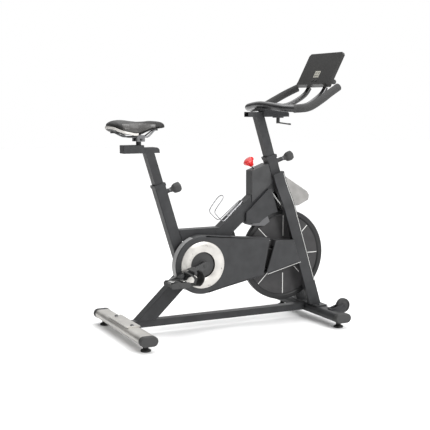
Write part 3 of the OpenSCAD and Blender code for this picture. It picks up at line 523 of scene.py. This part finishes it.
@dataclass
class Base:
    """Base rail, stabilizers, feet and transport wheels."""

    pad_radius: float = 21.5 * MM
    wheel_radius: float = 33 * MM
    wheel_half: float = 12 * MM

    def make(self) -> None:
        """Builds the base's pieces."""
        self.rail()
        Softened("rear_stabilizer", BASE_SILVER, 1 * MM).make()
        Softened("front_stabilizer", POWDER_COAT, 1 * MM).make()
        Softened("end_caps", BLACK_PLASTIC, 4 * MM, 0, 4).make()
        self.bolts()
        for end in ("rear", "front"):
            for side in ("right", "left"):
                self.foot(f"{end}_{side}")
        for side in ("right", "left"):
            self.wheel(side)

    def rail(self) -> None:
        """Rounds the base rail, and paints its rear plate silver."""
        piece = copied("base_rail", "base_rail_shell")
        round_edges(piece, 2 * MM, 3, 28 * MM)
        piece.data.materials.append(POWDER_COAT.material())
        piece.data.materials.append(BASE_SILVER.material())
        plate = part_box("rear_stabilizer")
        for face in piece.data.polygons:
            spot = face.center
            if spot.x < plate[1].x and spot.z > plate[1].z + 0.1 * MM:
                face.material_index = 1
        finish_shading(piece)
        mount(piece, POWDER_COAT, "frame", "frame_paint", "base_rail")

    def bolts(self) -> None:
        """Models the four domed socket bolts."""
        low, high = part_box("frame_bolts")
        head = [(0, 1.4 * MM), (3 * MM, 1.4 * MM), (3.1 * MM, 4 * MM), (5.5 * MM, 4.6 * MM),
                (7.4 * MM, 2.8 * MM), (8 * MM, 0), (0, 0)]
        spots = [(low.x + 8 * MM, low.y + 8 * MM), (low.x + 8 * MM, high.y - 8 * MM),
                 (high.x - 8 * MM, low.y + 8 * MM), (high.x - 8 * MM, high.y - 8 * MM)]
        for number, (x, y) in enumerate(spots):
            piece = turned(f"plate_bolt_{number}", head, 28)
            placed(piece, Matrix.Translation((x, y, high.z - 5 * MM)))
            finish_shading(piece)
            nodes = ("frame_bolts",) if number == 0 else ()
            mount(piece, DARK_STEEL, "frame", "steel", *nodes)

    def foot(self, where: str) -> None:
        """Models a levelling foot with its pad, nut and screw.

        Args:
            where: Which foot, such as rear_right.
        """
        r = self.pad_radius
        profile = [(0, 0), (r - 2 * MM, 0), (r, 1.5 * MM), (r, 6 * MM), (r - 1.5 * MM, 8 * MM),
                   (r - 6 * MM, 9.5 * MM), (12 * MM, 12.5 * MM), (10.5 * MM, 13.2 * MM),
                   (11.4 * MM, 14 * MM), (11.4 * MM, 19.4 * MM), (10.4 * MM, 20 * MM),
                   (5 * MM, 20.2 * MM), (5 * MM, 43 * MM), (0, 44 * MM)]
        piece = turned(f"levelling_foot_{where}", profile)
        spot = joint_place(f"foot_{where}_turn")
        placed(piece, Matrix.Translation((spot.x, spot.y, 0)))
        finish_shading(piece)
        mount(piece, TREAD_RUBBER, f"foot_{where}", "rubber", f"foot_{where}")

    def wheel(self, side: str) -> None:
        """Models a transport wheel with its tread and dished hub.

        Args:
            side: right or left.
        """
        r, h = self.wheel_radius, self.wheel_half
        bore = 5.05 * MM
        profile = [(bore, -h), (10 * MM, -h), (11 * MM, -h + 3 * MM), (r - 9 * MM, -h + 4 * MM),
                   (r - 7.5 * MM, -h), (r - 3 * MM, -h), (r, -h + 4 * MM), (r, -1.2 * MM),
                   (r - 1 * MM, 0), (r, 1.2 * MM), (r, h - 4 * MM), (r - 3 * MM, h),
                   (r - 7.5 * MM, h), (r - 9 * MM, h - 4 * MM), (11 * MM, h - 3 * MM), (10 * MM, h),
                   (bore, h), (bore, -h)]
        piece = turned(f"transport_wheel_{side}", profile)
        placed(piece, along((0, 1, 0), joint_place(f"wheel_{side}_spin")))
        finish_shading(piece)
        mount(piece, BLACK_PLASTIC, f"wheel_{side}", "black_plastic", f"wheel_{side}")


@dataclass
class Covers:
    """The moulded covers, the belt guard and its ring."""

    rim_round: float = 6 * MM
    ring_outer: float = 102 * MM
    ring_inner: float = 57 * MM

    def make(self) -> None:
        """Rounds the covers, turns the ring and lays a thin white line along the front guard's lower edge, a
        painted highlight.
        """
        Softened("head_cover", COVER_GREY, 3 * MM, 14 * MM, 4).make()
        self.nose()
        Softened("fender", SHROUD, 3 * MM, 22 * MM, 3).make()
        Softened("guard_backplate", BLACK_PLASTIC, 1 * MM, holed=True).make()
        self.guard()
        front = copied("front_guard", "front_guard_shell")
        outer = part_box("front_guard")[0].y
        round_edges(front, 3.5 * MM, 4, 12 * MM, lambda spot: spot.y < outer + 1 * MM)
        finish_shading(front)
        mount(front, SHROUD, "frame", "shroud_plastic", "front_guard")
        self.edge_highlight(outer)
        self.ring()

    def nose(self) -> None:
        """Rounds the nose housing, and darkens the faces that look forward and down."""
        piece = copied("nose_housing", "nose_housing_shell")
        round_edges(piece, 7 * MM, 5, 14 * MM)
        piece.data.materials.append(NOSE_SILVER.material())
        piece.data.materials.append(NOSE_DARK.material())
        low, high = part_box("nose_housing")
        for face in piece.data.polygons:
            if face.normal.x > 0.55 and face.center.z < low.z + 0.45 * (high.z - low.z):
                face.material_index = 1
        finish_shading(piece)
        mount(piece, NOSE_SILVER, "frame", SLOT_OF["nose_housing"], "nose_housing")

    def guard(self) -> None:
        """Rounds the belt guard's outer rim, and paints a highlight on its rear wall: light grey where that wall
        catches the light from behind.
        """
        piece = copied("belt_guard", "belt_guard_shell", holed=True)
        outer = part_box("belt_guard")[0].y
        crank = joint_place("crank_spin")

        def on_rim(spot: Vector) -> bool:
            """Whether a corner lies on the guard's outer outline."""
            return spot.y < outer + 1 * MM and (spot - crank).xz.length > 100 * MM

        mesh = edit(piece, "EDGE")
        bpy.ops.mesh.select_all(action="DESELECT")
        for edge in mesh.edges:
            spot = (edge.verts[0].co + edge.verts[1].co) / 2
            steep = len(edge.link_faces) == 2 and edge.calc_face_angle() > math.radians(60)
            if steep and edge.is_convex and on_rim(spot):
                edge.select_set(True)
        bmesh.update_edit_mesh(piece.data)
        bpy.ops.mesh.bevel(offset_type="OFFSET", offset=self.rim_round, segments=5, affect="EDGES",
                           clamp_overlap=False)
        object_mode()
        piece.data.materials.append(SHROUD.material())
        piece.data.materials.append(SHROUD_PAINTED_HIGHLIGHT.material())
        # Painted highlight: the rear wall's faces, turned to the side, take the light grey.
        for face in piece.data.polygons:
            away = face.center - crank
            if away.x < -0.045 and abs(face.normal.y) < 0.4 and away.xz.length > 120 * MM:
                face.material_index = 1
        finish_shading(piece)
        mount(piece, SHROUD, "frame", "shroud_plastic", "belt_guard")

    def edge_highlight(self, outer: float) -> None:
        """Lays a thin white line along the front guard's lower edge: a painted highlight where the edge catches
        the light.

        Args:
            outer: The guard's outer face along Y.
        """
        crank = joint_place("crank_spin")
        start = crank + Vector((0.320, 0, -0.0665))
        end = crank + Vector((0.492, 0, -0.0235))
        route = [Vector((p.x, outer - 0.2 * MM, p.z)) for p in (start, start.lerp(end, 0.5), end)]
        piece = swept("front_guard_highlight", route, 0.8 * MM, roundness=3)
        finish_shading(piece)
        # Painted highlight along the guard's lower edge.
        mount(piece, WHITE_MARK_AND_HIGHLIGHT, "frame", "silver_plastic")

    def ring(self) -> None:
        """Turns the convex silver ring round the crank."""
        a, b = self.ring_inner, self.ring_outer
        crown = [(a + 3 * MM + (b - a - 5 * MM) * i / 12, 3 * MM + 3 * MM * math.sin(math.pi * i / 12))
                 for i in range(13)]
        profile = [(a, 0), (a, 2.4 * MM), (a + 1 * MM, 3 * MM), *crown, (b - 0.6 * MM, 2.6 * MM),
                   (b, 1.8 * MM), (b, 0), (a, 0)]
        piece = turned("crank_ring", profile, 96)
        crank = joint_place("crank_spin")
        place = along((0, -1, 0), Vector((crank.x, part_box("guard_ring")[1].y, crank.z)))
        placed(piece, place)
        finish_shading(piece)
        mount(piece, RING_SILVER, "frame", "silver_plastic", "guard_ring")


@dataclass
class Drive:
    """Cranks, pedals, pulleys, belt and flywheel."""

    tick_count: int = 8
    rim_band: float = 18 * MM
    tick_inner: float = 0.41
    tick_outer: float = 0.87

    def make(self) -> None:
        """Builds the drive's pieces."""
        self.flywheel()
        Softened("flywheel_axle", BRIGHT_STEEL, 1 * MM).make()
        Softened("drive_belt", TREAD_RUBBER, 0.4 * MM).make()
        Softened("crank_spindle", DARK_STEEL, 1 * MM).make()
        Softened("crank_pulley", BLACK_PLASTIC, 0.6 * MM, holed=True).make()
        Softened("crank_arms", BAR_PAINT, 2.5 * MM, 30 * MM, 4).make()
        for side in ("right", "left"):
            self.arm_cap(side)
            self.pedal(side)

    def flywheel(self) -> None:
        """Turns the flywheel and sets the white marks into both its faces."""
        low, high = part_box("flywheel")
        r = (high.x - low.x) / 2
        half, web, hub, bore = 13 * MM, 7 * MM, 32 * MM, 10 * MM
        near = [(bore, -26 * MM), (hub - 2 * MM, -26 * MM), (hub, -24 * MM), (hub + 1 * MM, -web - 1 * MM),
                (hub + 4 * MM, -web), (r - self.rim_band - 8 * MM, -web),
                (r - self.rim_band - 3 * MM, -half + 2 * MM), (r - self.rim_band, -half),
                (r - 3 * MM, -half), (r, -half + 3 * MM)]
        profile = [*near, *[(radius, -height) for radius, height in reversed(near)], near[0]]
        piece = turned("flywheel_disc", profile, 128)
        centre = joint_place("flywheel_spin")
        placed(piece, along((0, 1, 0), centre))
        piece.data.materials.append(WHEEL_IRON.material())
        piece.data.materials.append(WHEEL_RIM.material())
        for face in piece.data.polygons:
            if (face.center - centre).xz.length > r - self.rim_band - 9 * MM:
                face.material_index = 1
        finish_shading(piece)
        mount(piece, WHEEL_IRON, "flywheel", "flywheel_iron", "flywheel")
        for side in (RIGHT, LEFT):
            for number in range(self.tick_count):
                self.tick(centre, r, side, number)

    def tick(self, centre: Vector, r: float, side: int, number: int) -> None:
        """Sets one white radial mark into the flywheel's face.

        Args:
            centre: The flywheel's centre.
            r: The flywheel's radius.
            side: RIGHT or LEFT face.
            number: Which mark, counted round the wheel.
        """
        start, end = self.tick_inner * r, self.tick_outer * r
        object_mode()
        bpy.ops.mesh.primitive_cube_add(size=1)
        word = "right" if side == RIGHT else "left"
        piece = named(bpy.context.object, f"wheel_mark_{word}_{number}")
        edit(piece)
        bpy.ops.transform.resize(value=(end - start, 0.5 * MM, 3 * MM))
        bpy.ops.transform.translate(value=((start + end) / 2, side * 7 * MM, 0))
        object_mode()
        round_edges(piece, 0.2 * MM, 2)
        turn = Matrix.Rotation(math.tau * number / self.tick_count, 4, "Y")
        placed(piece, Matrix.Translation(centre) @ turn)
        finish_shading(piece)
        mount(piece, WHITE_MARK_AND_HIGHLIGHT, "flywheel", "silver_plastic")

    def arm_cap(self, side: str) -> None:
        """Turns the dust cap over the crank bolt.

        Args:
            side: right or left.
        """
        out = RIGHT if side == "right" else LEFT
        profile = [(0, 2.2 * MM), (6 * MM, 2 * MM), (9.5 * MM, 1.2 * MM), (10.5 * MM, 0), (0, 0)]
        piece = turned(f"crank_cap_{side}", profile, 32)
        centre = joint_place("crank_spin")
        edge = abs(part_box("crank_spindle")[0].y)
        placed(piece, along((0, out, 0), centre + Vector((0, out * edge, 0))))
        finish_shading(piece)
        mount(piece, BLACK_PLASTIC, "crank", "black_plastic")

    def pedal(self, side: str) -> None:
        """Builds a pedal: body, toe strap, clip and end cap.

        Args:
            side: right or left.
        """
        node = f"pedal_{side}"
        Softened(node, BLACK_PLASTIC, 1 * MM, 5 * MM, 2).make()
        low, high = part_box(node)
        centre = joint_place(f"{node}_spin")
        out = RIGHT if side == "right" else LEFT
        mid_y = (low.y + high.y) / 2
        strap = [centre + Vector((x, mid_y + out * y - centre.y, z)) for x, y, z in (
            (0.058, 0.046, 0.004), (0.059, 0.045, 0.024), (0.057, 0.032, 0.040), (0.056, 0.0, 0.045),
            (0.057, -0.030, 0.040), (0.059, -0.041, 0.024), (0.058, -0.041, 0.004))]
        piece = swept(f"toe_strap_{side}", curved(strap, 5), 1.0 * MM, rise=0.0, roundness=2)
        edit(piece)
        bpy.ops.transform.resize(value=(7.0, 1.0, 1.0), center_override=centre + Vector((0.058, 0, 0)))
        object_mode()
        finish_shading(piece)
        mount(piece, TREAD_RUBBER, node, "rubber")
        self.clip(side, centre, mid_y)
        cap = turned(f"pedal_cap_{side}", [(0, 2 * MM), (7 * MM, 1.6 * MM), (9 * MM, 0), (0, 0)], 28)
        tip = low.y if side == "right" else high.y
        placed(cap, along((0, out, 0), Vector((centre.x, tip - out * 0.4 * MM, centre.z))))
        finish_shading(cap)
        mount(cap, BLACK_PLASTIC, node, "black_plastic")

    def clip(self, side: str, centre: Vector, mid_y: float) -> None:
        """Bends the bright steel clip plates on the pedal's body.

        Args:
            side: right or left.
            centre: The pedal axis.
            mid_y: The middle of the pedal's width.
        """
        for number, (ahead, up) in enumerate(((-0.026, 0.0125), (0.026, 0.0125))):
            object_mode()
            bpy.ops.mesh.primitive_cube_add(size=1)
            piece = named(bpy.context.object, f"pedal_clip_{side}_{number}")
            edit(piece)
            bpy.ops.transform.resize(value=(14 * MM, 34 * MM, 2 * MM))
            mesh = bmesh.from_edit_mesh(piece.data)
            bpy.ops.mesh.select_all(action="DESELECT")
            bpy.ops.mesh.select_mode(type="FACE")
            for face in mesh.faces:
                if face.normal.x * ahead > 0.005 and abs(face.normal.x) > 0.9:
                    face.select_set(True)
            bmesh.update_edit_mesh(piece.data)
            rise = {"value": (math.copysign(5 * MM, ahead), 0, -7 * MM)}
            bpy.ops.mesh.extrude_region_move(TRANSFORM_OT_translate=rise)
            object_mode()
            round_edges(piece, 0.6 * MM, 2)
            placed(piece, Matrix.Translation((centre.x + ahead, mid_y, centre.z + up)))
            finish_shading(piece)
            mount(piece, BRIGHT_STEEL, f"pedal_{side}", "steel")


@dataclass
class Brake:
    """Resistance knob, rod and caliper."""

    lift: float = 7 * MM

    def make(self) -> None:
        """Builds the brake's pieces."""
        Softened("resistance_rod", BRIGHT_STEEL, 0.6 * MM).make()
        Softened("magnet_caliper", DARK_STEEL, 1 * MM).make()
        lobes = 8
        outline = ((5.05, 16), (8.5, 16), (10, 18), (11.5, 23), (16, 30), (22, 35), (25, 38.5), (26, 43),
                   (25.4, 47), (23, 51), (18, 53.4), (12, 54.6), (0, 55), (0, 26), (5.05, 26), (5.05, 16))
        profile = [(radius * MM, height * MM + self.lift) for radius, height in outline]
        piece = turned("brake_knob", profile, 64)
        flute(piece, lobes, 19 * MM, 2.6 * MM)
        placed(piece, along(joint_axis("resistance_turn"), joint_place("resistance_turn")))
        finish_shading(piece, 50)
        mount(piece, KNOB_RED, "resistance_knob", "red_plastic", "resistance_knob")


def flute(piece: bpy.types.Object, count: int, inside: float, depth: float) -> None:
    """Presses shallow finger flutes into a turned knob that stands on local Z.

    Args:
        piece: The knob, still at the origin.
        count: Number of flutes.
        inside: Points nearer the axis than this stay.
        depth: How far each flute goes in, in metres.
    """
    for number in range(count):
        angle = math.tau * number / count
        inward = Vector((-math.cos(angle), -math.sin(angle), 0))
        for share, spread in ((0.6, 0.30), (0.4, 0.16)):
            mesh = edit(piece)
            bpy.ops.mesh.select_all(action="DESELECT")
            for vertex in mesh.verts:
                flat = vertex.co.xy
                if flat.length > inside and -inward.xy.normalized().dot(flat.normalized()) > math.cos(
                        math.pi / count * 2 * spread * 1.6):
                    vertex.select_set(True)
            bmesh.update_edit_mesh(piece.data)
            bpy.ops.transform.translate(value=inward * depth * share)
    object_mode()


@dataclass
class PopKnob:
    """A sprung pin with its bell shaped, fluted knob."""

    pin: str
    knob: str
    turn: str
    reach: float

    def make(self) -> None:
        """Softens the pin and turns the knob on it."""
        Softened(self.pin, DARK_STEEL, 0.5 * MM).make()
        z = self.reach
        bore = 5.05 * MM
        bell = ((9.4, 0), (10.4, 1.4), (11, 8), (14, 12), (19, 16), (21.5, 22), (22.5, 34), (22.5, 42),
                (20.5, 46.5), (16, 48.6), (9, 49.7), (0, 50), (0, 22))
        profile = [(bore, z), *((radius * MM, z + height * MM) for radius, height in bell),
                   (bore, z + 22 * MM), (bore, z)]
        piece = turned(self.knob + "_grip", profile, 60)
        flute(piece, 6, 16 * MM, 2 * MM)
        axis = joint_axis(self.turn)
        placed(piece, along(axis, self._tube_axis(axis)))
        finish_shading(piece, 50)
        mount(piece, BLACK_PLASTIC, self.knob, "black_plastic", self.knob)

    def _tube_axis(self, axis: Vector) -> Vector:
        """Where the pin's axis meets the middle of its tube."""
        return joint_place(self.turn) + axis * (self.tip_from_joint() - self.reach - 50 * MM)

    def tip_from_joint(self) -> float:
        """How far the knob's end stands beyond its joint's point.

        Returns:
            The distance along the knob's axis, in metres.
        """
        axis = joint_axis(self.turn)
        tip = joint_place(self.turn)
        node = frame["nodes"][self.knob]
        return max((vertex.co - tip).dot(axis) for vertex in node.data.vertices)


@dataclass
class Seat:
    """Saddle, its rails and clamp, and the carriage knob."""

    cap: float = 4 * MM
    voxel: float = 4 * MM
    pressure: float = 4.0

    def make(self) -> None:
        """Builds the saddle's pieces."""
        Softened("saddle_clamp", DARK_STEEL, 1.5 * MM, 6 * MM, 3).make()
        Softened("saddle_rails", DARK_STEEL, 0.3 * MM).make()
        Softened("saddle_shell", BLACK_PLASTIC, 0.6 * MM).make()
        Softened("carriage_knob", BLACK_PLASTIC, 2 * MM, 0, 3).make()
        self.cushion()
        self.trim()

    def cushion(self) -> None:
        """Pads the saddle: a slimmed copy is inflated as cloth and subdivided."""
        piece = copied("saddle_cushion", "saddle_padding")
        piece.modifiers.new("even", "REMESH").voxel_size = self.voxel
        apply_all(piece)
        slim = piece.modifiers.new("slim", "DISPLACE")
        slim.strength = -2 * MM
        slim.mid_level = 0.0
        apply_all(piece)
        self.inflate(piece)
        smooth = piece.modifiers.new("smooth", "SMOOTH")
        smooth.iterations = 6
        smooth.factor = 0.5
        piece.modifiers.new("fine", "SUBSURF").levels = 1
        piece.modifiers["fine"].render_levels = 1
        apply_all(piece)
        self.fit_box(piece)
        piece.data.materials.append(SADDLE_TOP.material())
        piece.data.materials.append(SADDLE_SIDE_AND_SHEEN.material())
        # The side faces take the lighter grey: a separate smoother panel, lightened as painted sheen.
        clamp = joint_place("saddle_tilt")
        for face in piece.data.polygons:
            ahead = (face.center.x - clamp.x) / MM
            brow = 69 + 3 * math.cos(math.radians(ahead + 30))
            height = (face.center.z - clamp.z) / MM
            if -98 < ahead < 70 and height < brow - 4 and abs(face.normal.y) > 0.35:
                face.material_index = 1
        take(piece)
        bpy.ops.object.shade_smooth()
        mount(piece, SADDLE_TOP, "saddle", "saddle_cover", "saddle_cushion")

    def inflate(self, piece: bpy.types.Object) -> None:
        """Runs the cloth simulation and caps how far each point moves.

        Args:
            piece: The evenly meshed padding.
        """
        rest = [vertex.co.copy() for vertex in piece.data.vertices]
        cloth = piece.modifiers.new("padding", "CLOTH")
        cloth.settings.use_pressure = True
        cloth.settings.uniform_pressure_force = self.pressure
        cloth.settings.effector_weights.gravity = 0.0
        cloth.settings.quality = 5
        scene = bpy.context.scene
        for number in range(1, 21):
            scene.frame_set(number)
        apply_all(piece)
        scene.frame_set(1)
        for vertex, start in zip(piece.data.vertices, rest):
            move = vertex.co - start
            if move.length > self.cap:
                vertex.co = start + move.normalized() * self.cap

    def fit_box(self, piece: bpy.types.Object) -> None:
        """Scales the padding back into its CAD box, so that it clears its shell."""
        low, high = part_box("saddle_cushion")
        spots = [vertex.co for vertex in piece.data.vertices]
        mine = (Vector((min(s[i] for s in spots) for i in range(3))),
                Vector((max(s[i] for s in spots) for i in range(3))))
        size = Vector((high - low)[i] / (mine[1] - mine[0])[i] for i in range(3))
        edit(piece)
        bpy.ops.transform.resize(value=size, center_override=(mine[0] + mine[1]) / 2)
        bpy.ops.transform.translate(value=(low + high) / 2 - (mine[0] + mine[1]) / 2)
        object_mode()

    def trim(self) -> None:
        """Wraps the silver band round the saddle's lower rear edge."""
        clamp = joint_place("saddle_tilt")
        half = [(-20, 50, 23.5), (-38, 62.5, 22.5), (-64, 77.5, 27.5), (-90, 81.5, 32.5), (-111, 73.5, 39.5),
                (-126, 55.5, 47.5), (-133.5, 34, 50.5), (-135, 0, 51)]
        points = [Vector((x, -y, z)) for x, y, z in half]
        points += [Vector((x, y, z)) for x, y, z in reversed(half[:-1])]
        route = curved([clamp + p * MM for p in points], 8)
        piece = swept("saddle_trim", route, 1.5 * MM, rise=3.4 * MM, roundness=3)
        finish_shading(piece, 50)
        mount(piece, TRIM_SILVER, "saddle", "silver_plastic")


@dataclass
class Bars:
    """Handlebar, grips, lever and the console's pivot rod."""

    bar_radius: float = 15.5 * MM
    inner_radius: float = 12 * MM
    grip_wall: float = 1.8 * MM
    half: list[tuple[float, float, float]] = field(default_factory=lambda: [
        (10, 0, 54), (14, 60, 51), (22, 130, 44), (44, 176, 39), (92, 205, 38), (140, 208, 46),
        (196, 203, 74), (250, 190, 104), (304, 174, 131)])
    inner: list[tuple[float, float, float]] = field(default_factory=lambda: [
        (24, 100, 51), (80, 98, 46), (140, 92, 44), (196, 84, 50), (242, 76, 71), (284, 71, 100),
        (306, 70, 130)])

    def datum(self) -> Vector:
        """The handlebar post's axis on the underside of its rail."""
        return joint_place("lever_turn") + Vector((-0.100, 0, 0.015))

    def make(self) -> None:
        """Builds the handlebar's pieces and the console's pivot rod."""
        datum = self.datum()
        whole = [Vector((x, -y, z)) for x, y, z in reversed(self.half)]
        whole += [Vector((x, y, z)) for x, y, z in self.half[1:]]
        route = curved([datum + p * MM for p in whole], 10)
        piece = swept("outer_bar", route, self.bar_radius, roundness=8)
        finish_shading(piece)
        mount(piece, BAR_PAINT, "handlebar", "frame_paint", "handlebar")
        for side, word in ((RIGHT, "right"), (LEFT, "left")):
            self.inner_bar(datum, side, word)
            self.grip(route, side, word)
        self.pivot_bar()
        self.lever()

    def inner_bar(self, datum: Vector, side: int, word: str) -> None:
        """Bends an inner tube up to the console.

        Args:
            datum: The handlebar's datum.
            side: RIGHT or LEFT.
            word: The side's name.
        """
        points = [datum + Vector((x, side * y, z)) * MM for x, y, z in self.inner]
        piece = swept(f"inner_bar_{word}", curved(points, 8), self.inner_radius, roundness=7)
        finish_shading(piece)
        mount(piece, BAR_PAINT, "handlebar", "frame_paint")

    def grip(self, route: list[Vector], side: int, word: str) -> None:
        """Slides a foam grip over the outer end of the bar.

        Args:
            route: The bar's centre line, from right to left.
            side: RIGHT or LEFT.
            word: The side's name.
        """
        count = 46
        part = route[:count] if side == RIGHT else route[-count:]
        ordered = part if side == RIGHT else list(reversed(part))
        tip = (ordered[0] - ordered[1]).normalized() * 1.2 * MM
        piece = swept(f"foam_grip_{word}", [ordered[0] + tip, *ordered], self.bar_radius + self.grip_wall,
                      roundness=8)
        round_edges(piece, 1.5 * MM, 3)
        finish_shading(piece)
        nodes = ("bar_grips",) if side == RIGHT else ()
        mount(piece, GRIP_FOAM, "handlebar", "grip_foam", *nodes)
        ring = swept(f"grip_ring_{word}", part_end(ordered), self.bar_radius + self.grip_wall + 0.6 * MM,
                     roundness=8)
        round_edges(ring, 0.6 * MM, 2)
        finish_shading(ring)
        mount(ring, BLACK_PLASTIC, "handlebar", "black_plastic")

    def pivot_bar(self) -> None:
        """Turns the console's pivot rod with its two end nuts."""
        pivot = joint_place("console_tilt")
        half, r = 118 * MM, 6 * MM
        nut, nut_out = 11 * MM, 128 * MM
        near = [(0, nut_out), (8.5 * MM, nut_out), (nut, nut_out - 2.5 * MM), (nut, half + 0.5 * MM),
                (nut - 1 * MM, half - 2 * MM), (r, half - 2 * MM)]
        profile = [*near, *[(radius, -height) for radius, height in reversed(near)]]
        piece = turned("pivot_rod", profile, 40)
        placed(piece, along((0, 1, 0), pivot))
        finish_shading(piece)
        mount(piece, BLACK_PLASTIC, "handlebar", "frame_paint")

    def lever(self) -> None:
        """Rounds the clamping lever."""
        Softened("lock_lever", BLACK_PLASTIC, 2 * MM, 5 * MM, 3).make()


def part_end(route: list[Vector]) -> list[Vector]:
    """The last two steps of a route."""
    return route[-3:]


@dataclass
class Console:
    """Console case, display and buttons."""

    def make(self) -> None:
        """Builds the console's pieces."""
        Softened("console_case", CONSOLE_FACE, 2.5 * MM, 9 * MM, 3).make()
        self.window()
        for node in ("button_up", "button_down"):
            Softened(node, COVER_GREY, 1 * MM, 0, 3).make()

    def window(self) -> None:
        """Makes the display window with its plain segment bars."""
        piece = copied("console_screen", "display_window")
        round_edges(piece, 0.5 * MM, 2)
        finish_shading(piece)
        mount(piece, DISPLAY, "console", "screen", "console_screen")
        inward = joint_axis("button_up_press")
        up = Vector((inward.z * -1, 0, inward.x))
        low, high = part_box("console_screen")
        centre = (low + high) / 2 - inward * 1.2 * MM
        for row in range(2):
            for column in range(3):
                object_mode()
                bpy.ops.mesh.primitive_cube_add(size=1)
                bar = named(bpy.context.object, f"display_bar_{row}_{column}")
                tall = (3 + 2 * ((row * 2 + column) % 3)) * MM
                edit(bar)
                bpy.ops.transform.resize(value=(0.3 * MM, 6 * MM, tall))
                object_mode()
                round_edges(bar, 0.1 * MM, 1)
                spot = centre + up * (row - 0.5) * 13 * MM + Vector((0, (column - 1) * 12 * MM, 0))
                lean = Matrix((inward, (0, 1, 0), up)).transposed().to_4x4()
                placed(bar, Matrix.Translation(spot) @ lean)
                finish_shading(bar)
                mount(bar, SEGMENT, "console", "screen")


@dataclass
class Cage:
    """The wire bottle cage."""

    def make(self) -> None:
        """Rounds the wire cage."""
        Softened("bottle_cage", CAGE_WIRE, 0.4 * MM).make()


@dataclass
class Studio:
    """Floor, lights and camera."""

    camera_place: tuple[float, float, float] = (-1.8290, -3.669, 1.0115)
    pitch: float = 82.92
    yaw: float = -25.89
    lens: float = 77.8
    floor_size: float = 30.0
    dim: float = 0.12
    bright: float = 1.5
    overhead: tuple[float, float, float] = (0.42, 0.0, 0.907)

    def make(self) -> None:
        """Sets the floor, the soft lights and the camera."""
        self.floor()
        self.light("key", (1.2, -3.8, 2.4), 1.6, 120.0)
        self.light("top", (0.2, 0.2, 3.4), 2.4, 60.0)
        self.sky()
        bpy.context.scene.view_settings.view_transform = "Standard"
        object_mode()
        bpy.ops.object.camera_add(location=self.camera_place)
        camera = bpy.context.object
        camera.rotation_euler = (math.radians(self.pitch), 0.0, math.radians(self.yaw))
        camera.data.lens = self.lens
        camera.data.sensor_width = 36.0
        bpy.context.scene.camera = camera

    def sky(self) -> None:
        """Hangs a broad soft light overhead in a plain white surround."""
        world = bpy.data.worlds.new("studio_world")
        bpy.context.scene.world = world
        world.use_nodes = True
        nodes, links = world.node_tree.nodes, world.node_tree.links
        place = nodes.new("ShaderNodeTexCoord")
        facing = nodes.new("ShaderNodeVectorMath")
        facing.operation = "DOT_PRODUCT"
        facing.inputs[1].default_value = self.overhead
        links.new(place.outputs["Generated"], facing.inputs[0])
        share = nodes.new("ShaderNodeMapRange")
        share.inputs["From Min"].default_value = 0.1
        share.inputs["From Max"].default_value = 0.6
        share.inputs["To Min"].default_value = self.dim
        share.inputs["To Max"].default_value = self.bright
        links.new(facing.outputs["Value"], share.inputs["Value"])
        seen = nodes.new("ShaderNodeLightPath")
        plain = nodes.new("ShaderNodeMix")
        plain.inputs["B"].default_value = 1.0
        links.new(seen.outputs["Is Camera Ray"], plain.inputs["Factor"])
        links.new(share.outputs["Result"], plain.inputs["A"])
        links.new(plain.outputs["Result"], nodes["Background"].inputs["Strength"])
        nodes["Background"].inputs["Color"].default_value = (1.0, 1.0, 1.0, 1.0)

    def floor(self) -> None:
        """Lays the plain pale floor under the feet."""
        object_mode()
        bpy.ops.mesh.primitive_plane_add(size=self.floor_size, location=(0, 0, 0))
        floor = named(bpy.context.object, "floor")
        pale = Finish("floor_pale", (0.9, 0.9, 0.9), 0.7, relief=0.0, mottle=0.0)
        floor.data.materials.append(pale.material())

    def light(self, name: str, place: tuple[float, float, float], size: float, power: float) -> None:
        """Hangs a soft square light that faces the bike.

        Args:
            name: The light's name.
            place: Where it hangs, in metres.
            size: The length of its side.
            power: Its power in watts.
        """
        object_mode()
        bpy.ops.object.light_add(type="AREA", location=place)
        lamp = bpy.context.object
        lamp.name = name
        lamp.data.size = size
        lamp.data.energy = power
        target = Vector((0.0, 0.0, 0.5))
        lamp.rotation_euler = (target - Vector(place)).to_track_quat("-Z", "Y").to_euler()


def main() -> None:
    logging.basicConfig(level=logging.INFO, format="%(message)s")
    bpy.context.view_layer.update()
    assemblies = [Studio(), TubeFrame(), Base(), Covers(), Drive(), Brake(),
                  PopKnob("seat_pin", "seat_knob", "seat_knob_turn", 47 * MM),
                  PopKnob("bar_pin", "bar_knob", "bar_knob_turn", 66 * MM),
                  Seat(), Bars(), Console(), Cage()]
    for assembly in assemblies:
        assembly.make()
        log.info("%s is built", type(assembly).__name__)


if __name__ == "__main__":
    main()
